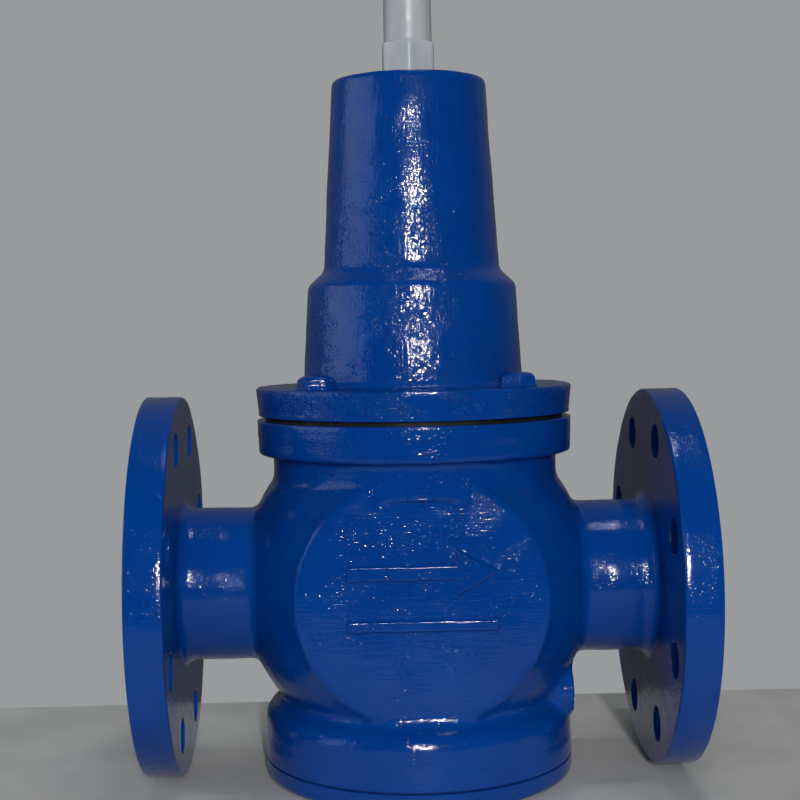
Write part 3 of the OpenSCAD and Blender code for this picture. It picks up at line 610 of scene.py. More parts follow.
def valve_body_mesh():
    """The whole casting: two nets joined by turned rings at both ports, the top and the foot."""
    outer_step, inner_step = 1.85, 3.0
    cut_x, cut_top, cut_foot = 98.0, PORT_Z + 76.0, PORT_Z - 80.0
    half = outer_step / 2
    # The sides of the box lie half a cell past the planes where the net has to end
    low = np.array([-cut_x - half, -90, cut_foot - half])
    spans = [
        math.ceil((2 * cut_x + outer_step) / outer_step), math.ceil(180 / outer_step),
        math.ceil((cut_top - cut_foot + outer_step) / outer_step),
    ]
    outer, outer_quads = surface_net(ball_field, low, low + np.array(spans) * outer_step, outer_step)
    top_in = PORT_Z + 50.0
    half = inner_step / 2
    low_in = np.array([-cut_x - half, -72, cut_foot - half])
    spans_in = [
        math.ceil((2 * cut_x + inner_step) / inner_step), math.ceil(144 / inner_step),
        math.ceil((top_in - cut_foot + inner_step) / inner_step),
    ]
    high_in = low_in + np.array(spans_in) * inner_step
    inner, inner_quads = surface_net(room_field, low_in, high_in, inner_step)

    shell = Shell()
    skin = np.clip((BALL_R + 20 - np.abs(outer[:, 0])) / 10, 0.6, 1)
    first = shell.add(outer, skin)
    shell.faces.extend(map(tuple, outer_quads))
    offset = len(first)
    shell.add(inner, 0.3)
    shell.faces.extend(tuple(offset + i for i in reversed(q)) for q in inner_quads)

    def ends(points, quads, shift, radii):
        found = {}
        for loop in edge_loops(quads):
            here = points[loop]
            middle = here.mean(axis=0)
            spread = here.max(axis=0) - here.min(axis=0)
            axis = int(np.argmin(spread))
            low_side = middle[axis] < (0 if axis == 0 else PORT_Z)
            key = (("inlet", None, "foot") if low_side else ("outlet", None, "top"))[axis]
            found[key] = End(shift + loop, here, axis, middle[axis], radii[key])
        return found

    outside = ends(outer, outer_quads, 0,
                   {"inlet": NECK_R, "outlet": NECK_R, "top": RIM_R, "foot": SKIRT_R})
    inside = ends(inner, inner_quads, offset,
                  {"inlet": THROAT_R, "outlet": THROAT_R, "top": OPENING_R, "foot": BOTTOM_BORE_R})

    def bridge(name, corners, roughness):
        """Rings from an outer end along an outline of corners to the inner end."""
        start, goal = outside[name], inside[name]
        corners = [(start.plane, start.radius, 0)] + corners + [(goal.plane, goal.radius, 0)]
        path = []
        for span, step in roughness["spans"]:
            part = rounded_path(corners[span[0] : span[1] + 1], step)
            path.extend(part if not path else part[1:])
        path = np.array(path)
        travelled = np.concatenate([[0], np.cumsum(np.linalg.norm(np.diff(path, axis=0), axis=1))])
        ring, turn = start.ring, start.angles
        for (axial, radius), way in list(zip(path, travelled))[1:-1]:
            points, turn = start.circle(axial, radius, min(1, way / 18))
            other = shell.add(points, roughness["skin"](axial, radius))
            shell.strip(ring, other)
            ring = other
        shell.zip(ring, turn, goal.ring, goal.angles)

    for name, side in (("inlet", -1), ("outlet", 1)):
        corners = [
            (side * FLANGE_IN_X, NECK_R, NECK_FILLET), (side * FLANGE_IN_X, 72, 0),
            (side * FLANGE_IN_X, FLANGE_R, 1.3), (side * (RIM_X - 9), FLANGE_R, 0),
            (side * RIM_X, FLANGE_R, 1.0), (side * RIM_X, 80, 0),
            (side * RIM_X, RAISED_R, 0.4), (side * FACE_X, RAISED_R, 0.5),
            (side * FACE_X, 50, 0), (side * FACE_X, BORE_R, 0.8), (side * BORE_END_X, BORE_R, 0),
            (side * THROAT_X, THROAT_R, 2.0),
        ]

        def flange_skin(axial, radius):
            if abs(axial) > FLANGE_IN_X + 2:
                return 0.35 if radius > FLANGE_R - 2 and abs(axial) < RIM_X - 1 else 0.0
            return 0.6 if radius > NECK_R - 1 else 0.0

        bridge(name, corners, {"spans": [((0, 2), 3.0), ((2, 4), 4.0), ((4, 6), 4.0),
                                         ((6, 9), 5.0), ((9, 13), 5.0)], "skin": flange_skin})

    def top_skin(axial, radius):
        return 0.35 if radius > RIM_R - 0.5 and axial < BODY_TOP_Z - 1 else 0.0

    def foot_skin(axial, radius):
        return 0.3 if radius > SKIRT_R - 0.5 and axial > BODY_FOOT_Z + 1 else 0.0

    bridge(
        "top",
        [
            (BODY_TOP_Z, RIM_R, 0.6), (BODY_TOP_Z, 66, 0), (BODY_TOP_Z, CHAMBER_R, 0.5),
            (PORT_Z + GUIDE_SEAT_DZ, CHAMBER_R, 0), (PORT_Z + GUIDE_SEAT_DZ, OPENING_R, 0.5),
        ],
        {"spans": [((0, 2), 2.5), ((2, 6), 5.0)], "skin": top_skin},
    )
    bridge(
        "foot",
        [(BODY_FOOT_Z, SKIRT_R, 0.9), (BODY_FOOT_Z, 66, 0), (BODY_FOOT_Z, BOTTOM_BORE_R, 0.5)],
        {"spans": [((0, 2), 2.5), ((2, 4), 5.0)], "skin": foot_skin},
    )

    def casting(points):
        wave = 0.30 * lattice_noise(points, 26, 1) + 0.16 * lattice_noise(points, 9, 2)
        return wave + 0.06 * lattice_noise(points, 4.2, 3) - 0.5

    return shell.mesh("valve_body_skin", casting)


def body_holes():
    """Cutters of the flange bolt holes, the tapped holes and the drain."""
    cutters = []
    for side in (-1, 1):
        for i in range(FLANGE_BOLTS):
            angle = (i + 0.5) * math.tau / FLANGE_BOLTS
            low, high = sorted((side * FLANGE_IN_X, side * RIM_X))
            place = along_x(FLANGE_PCD_R * math.cos(angle), PORT_Z + FLANGE_PCD_R * math.sin(angle))
            cutters.append(cutter(hole(BOLT_HOLE_R, low, high), 40, place))
    for angle in BOLT_ANGLES:
        c, s = math.cos(angle), math.sin(angle)
        top = blind_hole(BOLT_R + 0.05, BODY_TOP_Z, BODY_TOP_Z - 17.6)
        foot = blind_hole(BOLT_R + 0.05, BODY_FOOT_Z, BODY_FOOT_Z + 20)
        cutters.append(cutter(top, 32, upright(BONNET_PCD_R * c, BONNET_PCD_R * s)))
        cutters.append(cutter(foot, 32, upright(COVER_PCD_R * c, COVER_PCD_R * s)))
    drain = [(46, 0), (46, 4.5), (69.5, 4.5), (69.5, 6.5), (80, 6.5), (81, 7.3), (83, 9), (83, 0)]
    cutters.append(cutter(drain, 32, along_x(DRAIN_Y, PORT_Z + DRAIN_DZ)))
    return cutters


valve_body = made("valve_body_skin", valve_body_mesh(), "housing", "enamel", "valve_body")
cut(valve_body, body_holes())
smooth(valve_body.data)


def raised_mark(name, corners, side):
    """A flat raised mark on a pad, from its outline in (x, z) about the port axis. Its edge is
    round at the top and runs out softly into the pad, under coats of paint."""
    corners = [tuple(map(float, c)) for c in corners]
    us, vs = zip(*corners)

    def field(p):
        x, height, z = p[:, 0], side * p[:, 1] - PAD_Y, p[:, 2] - PORT_Z
        wobble = 0.25 * lattice_noise(p, 6, 11 + side) + 0.10 * lattice_noise(p, 2.5, 14 + side)
        edge = polygon_distance(x, z, corners) + wobble
        edge = edge - 1.3 * np.exp(-np.maximum(height + 0.5, 0) / 0.35)
        return smooth_max(edge, height - MARK_T + 0.1 + 0.15 * lattice_noise(p, 9, 17), 0.7)

    def closed_field(p):
        return np.maximum(field(p), PAD_Y - 1.4 - side * p[:, 1])

    step = 0.55
    near, far = sorted((side * (PAD_Y - 2.6), side * (PAD_Y + 2.2)))
    low = (min(us) - 3.1, near, PORT_Z + min(vs) - 3.1)
    high = (max(us) + 3.1, far, PORT_Z + max(vs) + 3.1)
    points, quads = surface_net(closed_field, low, high, step)
    shell = Shell()
    shell.add(points)
    shell.faces.extend(map(tuple, quads))
    return made(name, smooth(shell.mesh(name), 60), "housing", "enamel")


ARROW = [(-37, 11.5), (17, 11.5), (17, 4), (37, 15), (17, 26), (17, 18.5), (-37, 18.5)]
BAR = [(-37, -13.5), (37, -13.5), (37, -8.5), (-37, -8.5)]
marks = [
    raised_mark(f"{kind}_{place}", outline, side)
    for kind, outline in (("flow_arrow", ARROW), ("flow_bar", BAR))
    for place, side in (("front", -1), ("back", 1))
]


# ---- Bottom cover and bonnet ----


def cast_noise(strength, seed, shift=0.5):
    """Noise of a cast and painted skin, always inward of the true surface."""

    def noise(points):
        wave = 0.30 * lattice_noise(points, 24, seed) + 0.16 * lattice_noise(points, 8.5, seed + 1)
        return strength * (wave + 0.06 * lattice_noise(points, 4.2, seed + 2) - shift)

    return noise


cover_path = rounded_path(
    [
        (0, 0, 0), (0, COVER_R, 4.0), (COVER_TOP_Z, COVER_R, 0.8), (COVER_TOP_Z, 49.5, 0),
        (COVER_TOP_Z + 4, 49.5, 0.8), (COVER_TOP_Z + 4, 15, 1.5), (PORT_Z - 50, 15, 1.0),
        (PORT_Z - 50, 9.5, 0.5), (PORT_Z - 89, 9.5, 0), (PORT_Z - 89, 0, 0),
    ],
    2.0,
)
cover_skin = [
    0.3 if r > COVER_R - 3.5 and 0.2 < z < COVER_TOP_Z - 0.5 else 0.0 for z, r in cover_path
]
bottom_cover = made(
    "bottom_cover_skin", lathe("bottom_cover_skin", cover_path, 288, cover_skin, cast_noise(1, 21)),
    "housing", "enamel", "bottom_cover",
)
countersink = [
    (-2, 0), (-2, 12.4), (0, 10.5), (5.75, 5.25), (9.5, 5.25), (10, 5.6), (12, 7.5), (12, 0),
]


def at_bolts(outline, sides, circle_r):
    """A cutter of the outline at each of the four bolts, on a circle."""
    return [
        cutter(outline, sides, upright(circle_r * math.cos(a), circle_r * math.sin(a)))
        for a in BOLT_ANGLES
    ]


cut(bottom_cover, at_bolts(countersink, 40, COVER_PCD_R))
smooth(bottom_cover.data)

bonnet_outline = [
    (BONNET_FOOT_Z, SPRING_ROOM_R + 4, 0), (BONNET_FOOT_Z, BONNET_RIM_R - 1.5, 0.7),
    (BONNET_FACE_Z, BONNET_RIM_R, 1.8), (BONNET_FACE_Z, BONNET_FOOT_R, 4.5),
    (SHOULDER_Z - 5.5, BONNET_WAIST_R, 5.5), (SHOULDER_Z + 2.2, CONE_R - 0.2, 6.0),
    (BONNET_TOP_Z, CONE_TOP_R, 2.8), (BONNET_TOP_Z, SCREW_R + 0.05, 0.8),
    (BONNET_ROOF_Z, SCREW_R + 0.05, 0),
]
room_outline = [
    (BONNET_ROOF_Z, SCREW_R + 0.05, 0), (BONNET_ROOF_Z, CONE_TOP_R - 7, 3.0),
    (SHOULDER_Z - 7, CONE_R - 7, 0), (SHOULDER_Z - 15, SPRING_ROOM_R, 3.0),
    (BONNET_FOOT_Z, SPRING_ROOM_R, 2.5), (BONNET_FOOT_Z, SPRING_ROOM_R + 4, 0),
]
outside_path = rounded_path(bonnet_outline, 1.7)
bonnet_path = np.concatenate([outside_path, rounded_path(room_outline, 5.0)[1:-1]])
bonnet_skin = [
    0.0 if i >= len(outside_path) or z < BONNET_FOOT_Z + 0.8 or r < SCREW_R + 6
    else 0.4 if r > BONNET_RIM_R - 3 and z < BONNET_FACE_Z - 0.5 else 0.9
    for i, (z, r) in enumerate(bonnet_path)
]
bonnet = made(
    "bonnet_skin",
    lathe("bonnet_skin", bonnet_path, 288, bonnet_skin, cast_noise(1, 31), closed=True),
    "housing", "enamel", "bonnet",
)
bonnet_cuts = at_bolts(hole(BOLT_R + 0.5, BONNET_FOOT_Z, BONNET_FACE_Z, 0.5), 32, BONNET_PCD_R)
vent_place = Matrix.Translation((0, 0, VENT_Z * MM)) @ Matrix.Rotation(-math.pi / 2, 4, "X")
vent = [(45, 0), (45, VENT_R), (57.6, VENT_R), (59.5, VENT_R + 2), (62, VENT_R + 4), (62, 0)]
bonnet_cuts.append(cutter(vent, 32, vent_place))
cut(bonnet, bonnet_cuts)
smooth(bonnet.data)


def hex_distance(x, y, across_flats, turn=0.0):
    """Distance to a hexagon; a flat faces the direction turn."""
    best = np.full(np.shape(x), -1e9)
    for i in range(3):
        angle = turn + i * math.pi / 3
        best = np.maximum(best, np.abs(x * math.cos(angle) + y * math.sin(angle)))
    return best - across_flats / 2


def net_mesh(name, field, low, high, step, degrees=60):
    """A closed net of a field, as a smooth mesh."""
    points, quads = surface_net(field, low, high, step)
    shell = Shell()
    shell.add(points)
    shell.faces.extend(map(tuple, quads))
    return smooth(shell.mesh(name), degrees)


def bonnet_bolt(index, angle):
    """One bolt: a head thick with paint, with a fillet of paint at its foot, and its shank."""
    cx, cy = BONNET_PCD_R * math.cos(angle), BONNET_PCD_R * math.sin(angle)
    turn = angle + math.radians(15 + 30)
    head_top = BONNET_FACE_Z + BOLT_HEAD_T
    grip_end = BONNET_FACE_Z - (BONNET_FACE_Z - BODY_TOP_Z) - 17

    def field(p):
        x, y, z = p[:, 0] - cx, p[:, 1] - cy, p[:, 2]
        r = np.hypot(x, y)
        wobble = 0.18 * lattice_noise(p, 5, 40 + index)
        head = hex_distance(x, y, BOLT_AF - 0.3, turn) + wobble
        head = smooth_max(head, (r - BOLT_AF / 2 - 1.0 + (z - head_top + 2.2) * 1.6) * 0.6, 0.8)
        head = smooth_max(head, z - head_top + 0.25 + wobble, 0.9)
        paint = head - 1.5 * np.exp(-np.maximum(z - BONNET_FACE_Z, 0) / 0.7)
        paint = np.maximum(paint, BONNET_FACE_Z - 0.4 - z)
        shank = np.maximum(r - BOLT_R, np.maximum(grip_end - z, z - head_top + 3))
        return smooth_min(paint, shank, 0.3)

    low = (cx - 12.5, cy - 12.5, grip_end - 2.3)
    high = (cx + 12.5, cy + 12.5, head_top + 1.7)
    return net_mesh(f"bonnet_bolt_{index}", field, low, high, 0.75)


bolts = [
    made(f"bonnet_bolt_{i}", bonnet_bolt(i, a), "housing", "enamel", *(["bonnet_bolts"] if i == 0 else []))
    for i, a in enumerate(BOLT_ANGLES)
]


# ---- Adjuster ----


def screw_cap_field(p):
    """Distance to the moulded cap: a hexagon below, a slightly tapered tube above, hollow."""
    x, y, z = p[:, 0], p[:, 1], p[:, 2]
    r = np.hypot(x, y)
    hexagon = hex_distance(x, y, CAP_AF, 0.0)
    corner = r - (CAP_AF / 2 / math.cos(math.pi / 6) - 0.5)
    hexagon = smooth_max(hexagon, corner, 0.6)
    hexagon = smooth_max(hexagon, np.maximum(z - CAP_HEX_TOP_Z, CAP_FOOT_Z - z), 0.8)
    tube_r = 12.8 - 0.3 * np.clip((z - CAP_FOOT_Z) / (CAP_TOP_Z - CAP_FOOT_Z), 0, 1)
    tube = smooth_max(r - tube_r, z - CAP_TOP_Z, 2.6)
    tube = np.maximum(tube, CAP_FOOT_Z + 1 - z)
    bore = smooth_max(r - CAP_BORE_R, z - CAP_TOP_Z + 3, 1.0)
    return smooth_max(smooth_min(hexagon, tube, 0.7), -bore, 0.3)


cap_low, cap_high = (-17, -17, CAP_FOOT_Z - 1.3), (17, 17, CAP_TOP_Z + 1.4)
made(
    "screw_cap_skin", net_mesh("screw_cap_skin", screw_cap_field, cap_low, cap_high, 0.75),
    "screw_cap", "milky_plastic", "screw_cap",
)


def adjusting_screw_mesh():
    """A rolled thread as a true helix, a square for the spanner, and a cup for the ball."""
    sides, foot_z = 36, box_mm("adjusting_screw")[0][2]
    top_z = box_mm("adjusting_screw")[1][2]
    ball_z, cup_r = 338.0, 6.1
    drive_foot, root = top_z - 8, SCREW_R - 1.0
    heights = np.arange(foot_z + 0.8, drive_foot, SCREW_PITCH / 7)
    angles = np.arange(sides) * math.tau / sides
    shell, rings = Shell(), []
    for r in (2.0, 3.4, 4.3, root - 0.02):
        z = ball_z + math.sqrt(cup_r**2 - r**2)
        rings.append(shell.add(ring_points(z, r, angles)))
    tip = shell.add([(0, 0, ball_z + cup_r)])
    for z in heights:
        phase = (z / SCREW_PITCH - angles / math.tau) % 1
        wave = np.clip(1.35 - np.abs(phase - 0.5) * 3.4, 0, 1)
        fade = min(1, max(0, (z - foot_z - 1) / 2), max(0, (drive_foot - z) / 2))
        r = root + (SCREW_R - root) * wave * fade
        rings.append(shell.add(ring_points(z, r, angles)))
    square = 4 / np.maximum(np.abs(np.cos(angles)), np.abs(np.sin(angles)))
    square = np.minimum(square, root - 0.1)
    for z, shrink in ((drive_foot, 0), (drive_foot + 0.2, 1), (top_z - 0.7, 1), (top_z, 0.85)):
        r = square * shrink if shrink else root - 0.05
        rings.append(shell.add(ring_points(z, r, angles)))
    end = shell.add([(0, 0, top_z)])
    shell.fan(rings[0], tip[0])
    for ring, other in zip(rings, rings[1:]):
        shell.strip(ring, other)
    shell.fan(rings[-1], end[0])
    return smooth(shell.mesh("adjusting_screw_thread"), 40)


made("adjusting_screw_thread", adjusting_screw_mesh(), "screw", "zinc_steel", "adjusting_screw")


# ---- Pieces that bend between two bodies ----


def weigh(obj, weights):
    """Gives a blended piece its own share of the second body at each vertex."""
    attribute = obj.data.attributes["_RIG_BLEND"]
    attribute.data.foreach_set("value", np.asarray(weights, np.float32))


def vertex_mm(obj):
    """The vertices of an object's mesh in millimetres."""
    flat = np.empty(len(obj.data.vertices) * 3)
    obj.data.vertices.foreach_get("co", flat)
    return flat.reshape(-1, 3) / MM


DIAPHRAGM_R, DIAPHRAGM_BORE_R = 79, 7.2
FOLD_R = 43.5
SHEET_FOOT_Z, SHEET_TOP_Z = BODY_TOP_Z, BONNET_FOOT_Z
diaphragm_path = rounded_path(
    [
        (SHEET_FOOT_Z, DIAPHRAGM_BORE_R, 0), (SHEET_FOOT_Z, FOLD_R - 5.9, 1.0),
        (SHEET_FOOT_Z + 3.6, FOLD_R - 4.3, 3.2), (SHEET_FOOT_Z + 5.4, FOLD_R, 3.2),
        (SHEET_FOOT_Z + 3.6, FOLD_R + 4.3, 3.2), (SHEET_FOOT_Z, FOLD_R + 5.9, 1.0),
        (SHEET_FOOT_Z, DIAPHRAGM_R, 0), (SHEET_TOP_Z, DIAPHRAGM_R, 0),
        (SHEET_TOP_Z, FOLD_R + 7.1, 1.0), (SHEET_FOOT_Z + 5.5, FOLD_R + 5.8, 4.0),
        (SHEET_FOOT_Z + 7.7, FOLD_R, 5.0), (SHEET_FOOT_Z + 5.5, FOLD_R - 5.8, 4.0),
        (SHEET_TOP_Z, FOLD_R - 7.1, 1.0), (SHEET_TOP_Z, DIAPHRAGM_BORE_R, 0),
        (SHEET_FOOT_Z, DIAPHRAGM_BORE_R, 0),
    ],
    1.6,
)
diaphragm = made("diaphragm_sheet", lathe("diaphragm_sheet", diaphragm_path[:-1], 128, closed=True),
                 None, "rubber", "diaphragm")
punch = [(SHEET_FOOT_Z - 3, 0), (SHEET_FOOT_Z - 3, 5.5), (SHEET_FOOT_Z + 6, 5.5), (SHEET_FOOT_Z + 6, 0)]
cut(diaphragm, at_bolts(punch, 32, BONNET_PCD_R))
smooth(diaphragm.data)
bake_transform(diaphragm, "housing", "trim", (0, 0, SHEET_FOOT_Z * MM), (0, 0, (SHEET_FOOT_Z + 9) * MM))
# The clamped rim stays with the housing, and the middle, clamped on the stem, goes with the trim
HELD_R, CARRIED_R = 54, 36
spread = np.hypot(*vertex_mm(diaphragm)[:, :2].T)
ease = np.clip((HELD_R - spread) / (HELD_R - CARRIED_R), 0, 1)
weigh(diaphragm, ease * ease * (3 - 2 * ease))


def coil_mesh(name, mean_r, wire_r, turns, foot_z, head_z, part=(0.0, 1.0), sides=20, per_turn=40):
    """A coil of round wire with closed, ground ends; part keeps a share of its length."""
    rise = 2.12 * wire_r
    reach = head_z - foot_z - 2 * wire_r
    count = int(round(per_turn * turns * (part[1] - part[0])))
    turn = turns * (part[0] + (part[1] - part[0]) * np.arange(count + 1) / count)
    climb = np.interp(turn, [0, 1, turns - 1, turns], [0, rise, reach - rise, reach])
    angles = np.arange(sides) * math.tau / sides
    shell, rings = Shell(), []
    for t, lift in zip(turn, climb):
        r = mean_r + wire_r * np.cos(angles)
        z = foot_z + wire_r + lift + wire_r * np.sin(angles)
        z = np.clip(z, foot_z + 0.12 * wire_r, head_z - 0.12 * wire_r)
        c, s = math.cos(math.tau * t), math.sin(math.tau * t)
        rings.append(shell.add(np.column_stack([r * c, r * s, z])))
    for ring, other in zip(rings, rings[1:]):
        shell.strip(ring, other)
    for ring in (rings[0], rings[-1]):
        middle = shell.add([np.concatenate(shell.points)[ring].mean(axis=0)])
        shell.fan(ring, middle[0])
    return smooth(shell.mesh(name), 45)


def spring(name, size, span, bodies, bend, part=(0.0, 1.0), sides=20, node=()):
    """A coil of a size (mean radius, wire radius, turns) over a span of heights, blended between
    two bodies along the two heights of bend; the end turns beyond them move whole."""
    coil = made(name, coil_mesh(name, *size, *span, part, sides), None, "spring_steel", *node)
    middle = sum(span) / 2
    low = span[0] if part[0] == 0 else middle
    high = span[1] if part[1] == 1 else middle
    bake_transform(coil, *bodies, (0, 0, low * MM), (0, 0, high * MM))
    weigh(coil, np.clip((vertex_mm(coil)[:, 2] - bend[0]) / (bend[1] - bend[0]), 0, 1))


foot, head = (corner[2] for corner in box_mm("return_spring"))
spring("return_spring_coil", (20, 1.5, 7), (foot, head), ("housing", "trim"),
       (foot + 4, head - 4), sides=14, node=["return_spring"])

# The main spring is two half coils that meet at a fixed middle: a piece bends between two bodies only
MAIN_COIL = (27, 4.5, 8)
foot, head = (corner[2] for corner in box_mm("main_spring"))
middle = (foot + head) / 2
spring("main_spring_lower", MAIN_COIL, (foot, head), ("trim", "housing"),
       (foot + 10, middle - 6), (0, 0.5), node=["main_spring"])
spring("main_spring_upper", MAIN_COIL, (foot, head), ("housing", "spring_seat"),
       (middle + 6, head - 10), (0.5, 1))


# ---- Materials ----


class Shader:
    """A node material in the making, its patterns in millimetres of the piece's own space."""

    def __init__(self, name, **values):
        self.material = bpy.data.materials.new(name)
        self.material.use_nodes = True
        self.nodes = self.material.node_tree.nodes
        self.links = self.material.node_tree.links
        self.surface = self.nodes["Principled BSDF"]
        for key, value in values.items():
            self.surface.inputs[key.replace("_", " ")].default_value = value
        self.place = self.nodes.new("ShaderNodeTexCoord").outputs["Object"]
        self.height = None

    def node(self, kind, inputs=(), **settings):
        """A node with its settings, and its inputs by name or number as values or links."""
        node = self.nodes.new(kind)
        for key, value in settings.items():
            setattr(node, key, value)
        for key, value in dict(inputs).items():
            if isinstance(value, bpy.types.NodeSocket):
                self.links.new(value, node.inputs[key])
            else:
                node.inputs[key].default_value = value
        return node

    def noise(self, cell, detail=2.0, stretch=(1, 1, 1), turn=(0, 0, 0), rough=0.5, shift=0.0):
        """Noise with features about cell millimetres across, longer along a stretched axis."""
        scale = [1000 / cell / s for s in stretch]
        place = self.node(
            "ShaderNodeMapping",
            {"Vector": self.place, "Scale": scale, "Rotation": turn, "Location": (shift, shift, shift)},
        )
        return self.node(
            "ShaderNodeTexNoise",
            {"Vector": place.outputs[0], "Scale": 1.0, "Detail": detail, "Roughness": rough},
        ).outputs["Fac"]

    def ramp(self, value, low, high, to_low=0.0, to_high=1.0, kind="SMOOTHSTEP"):
        """The value spread from one range to another, and clipped."""
        return self.node(
            "ShaderNodeMapRange",
            {"Value": value, "From Min": low, "From Max": high, "To Min": to_low, "To Max": to_high},
            interpolation_type=kind,
        ).outputs[0]

    def times(self, a, b):
        return self.node("ShaderNodeMath", {0: a, 1: b}, operation="MULTIPLY").outputs[0]

    def colour(self, factor, first, second):
        """Mixes two colours, or colour links, by a factor."""
        mix = self.node("ShaderNodeMix", data_type="RGBA")
        for socket, value in zip([mix.inputs[0], mix.inputs[6], mix.inputs[7]], [factor, first, second]):
            if isinstance(value, bpy.types.NodeSocket):
                self.links.new(value, socket)
            else:
                socket.default_value = value
        return mix.outputs[2]

    def bump(self, value, depth_mm, strength=1.0):
        """Adds a layer of bump, its full swing depth_mm high."""
        inputs = {"Height": value, "Distance": depth_mm * MM, "Strength": strength}
        if self.height is not None:
            inputs["Normal"] = self.height
        self.height = self.node("ShaderNodeBump", inputs).outputs[0]

    def finish(self, **links):
        """Links what varies to the shader and gives the material."""
        for key, value in links.items():
            self.links.new(value, self.surface.inputs[key.replace("_", " ")])
        if self.height is not None:
            self.links.new(self.height, self.surface.inputs["Normal"])
        return self.material


def rgb(red, green, blue):
    return (red, green, blue, 1.0)


def enamel(name, stretch, turn, tilt, low=0.0, high=0.0, least=1.0, stroke_depth=0.03):
    """Gloss blue enamel, brushed over a sand casting. The casting's grain shows through as
    small facets, tilted by up to about tilt; above the height high it fades to its least share.
    Brush strokes run along one direction, and colour and gloss are slightly uneven."""
    s = Shader(name, IOR=1.5, Specular_IOR_Level=0.36)
    cell = 1.5
    place = s.node("ShaderNodeMapping", {"Vector": s.place, "Scale": [1000 / cell] * 3}).outputs[0]
    grain = s.node(
        "ShaderNodeTexVoronoi", {"Vector": place, "Scale": 1.0, "Smoothness": 0.35}, feature="SMOOTH_F1"
    )
    offset = s.node("ShaderNodeVectorMath", {0: place, 1: grain.outputs["Position"]}, operation="SUBTRACT")
    lean = s.node(
        "ShaderNodeVectorMath", {0: grain.outputs["Color"], 1: (0.5, 0.5, 0.5)}, operation="SUBTRACT"
    )
    facet = s.node(
        "ShaderNodeVectorMath", {0: offset.outputs[0], 1: lean.outputs[0]}, operation="DOT_PRODUCT"
    ).outputs["Value"]
    share = s.ramp(s.noise(14, 2.0, shift=7.0), 0.35, 0.65, 0.15, 1.0)
    if least < 1:
        height = s.node("ShaderNodeSeparateXYZ", {0: s.place}).outputs["Z"]
        share = s.times(share, s.ramp(height, low * MM, high * MM, 1.0, least))
    strokes = s.noise(1.5, 3.0, stretch, turn, 0.6)
    s.bump(s.noise(13, 1.0, shift=9.0), 0.13)
    s.bump(s.times(facet, share), cell * 2 * tilt)
    s.bump(s.ramp(strokes, 0.35, 0.7), stroke_depth)
    cloud = s.noise(45, 3.0)
    base = s.colour(s.ramp(cloud, 0.3, 0.7), rgb(0.0, 0.034, 0.212), rgb(0.0, 0.040, 0.238))
    worn = s.colour(s.times(s.ramp(strokes, 0.55, 0.8), 0.25), base, rgb(0.002, 0.062, 0.30))
    gloss = s.ramp(s.noise(22, 2.0, shift=4.0), 0.3, 0.7, 0.065, 0.11)
    return s.finish(Base_Color=worn, Roughness=gloss)


def metal(name, tint, dark, low, high, cell=3.0, metallic=1.0, stretch=(1, 1, 1), depth=0.01, **values):
    """Bare metal with fine machining or drawing marks and slightly clouded gloss."""
    s = Shader(name, Metallic=metallic, **values)
    marks = s.noise(cell, 4.0, stretch, rough=0.6)
    cloud = s.noise(14, 3.0, shift=6.0)
    s.bump(marks, depth)
    base = s.colour(s.ramp(cloud, 0.35, 0.65), tint, dark)
    return s.finish(Base_Color=base, Roughness=s.ramp(s.noise(5, 3.0, shift=3.0), 0.3, 0.7, low, high))


def rubber(name):
    """Black moulded rubber, matt with a faint bloom."""
    s = Shader(name, Specular_IOR_Level=0.2)
    s.bump(s.noise(0.9, 2.0), 0.02)
    bloom = s.ramp(s.noise(9, 4.0), 0.4, 0.7)
    base = s.colour(bloom, rgb(0.005, 0.005, 0.006), rgb(0.012, 0.012, 0.013))
    return s.finish(Base_Color=base, Roughness=s.ramp(s.noise(4, 2.0), 0.3, 0.7, 0.5, 0.68))


def milky_plastic(name):
    """Natural polyethylene: pale, waxy and a little see-through."""
    s = Shader(name, IOR=1.5, Subsurface_Weight=0.55, Subsurface_Scale=0.006)
    s.surface.inputs["Subsurface Radius"].default_value = (1.0, 1.0, 1.0)
    s.bump(s.noise(1.2, 2.0, (1, 1, 10)), 0.015)
    s.bump(s.noise(7, 2.0), 0.06)
    cloud = s.ramp(s.noise(11, 3.0, (1, 1, 3)), 0.3, 0.7)
    base = s.colour(cloud, rgb(0.34, 0.37, 0.41), rgb(0.42, 0.45, 0.49))
    return s.finish(Base_Color=base, Roughness=s.ramp(s.noise(6, 3.0), 0.3, 0.7, 0.32, 0.46))


LOOKS = {
    "enamel": enamel("enamel_across", (14, 1, 1), (0, 0, 0), 0.05, stroke_depth=0.035),
    "bronze": metal("bronze", rgb(0.62, 0.39, 0.16), rgb(0.48, 0.29, 0.12), 0.24, 0.4),
    "rubber": rubber("rubber"),
    "spring_steel": metal(
        "spring_steel", rgb(0.13, 0.13, 0.14), rgb(0.07, 0.07, 0.075), 0.32, 0.5, depth=0.02
    ),
    "zinc_steel": metal("zinc_steel", rgb(0.62, 0.63, 0.62), rgb(0.48, 0.49, 0.5), 0.28, 0.45),
    "stainless": metal(
        "stainless", rgb(0.6, 0.59, 0.57), rgb(0.52, 0.51, 0.5), 0.2, 0.34, stretch=(12, 12, 1)
    ),
    "milky_plastic": milky_plastic("milky_plastic"),
}
ENAMEL_UP = enamel("enamel_up", (1, 1, 16), (0, math.radians(12), 0), 0.15, 300, 330, 0.3, 0.05)
SLOT_OF = {part["node"]: part["material_slot"] for part in frame["record"]["subparts"]}
for node, obj in frame["nodes"].items():
    obj.data.materials.clear()
    obj.data.materials.append(LOOKS[SLOT_OF[node]])
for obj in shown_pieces():
    if "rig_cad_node" not in obj:
        obj.data.materials.clear()
        obj.data.materials.append(ENAMEL_UP if obj in [bonnet, *bolts] else LOOKS[obj["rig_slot"]])


# ---- Stage, camera and light ----


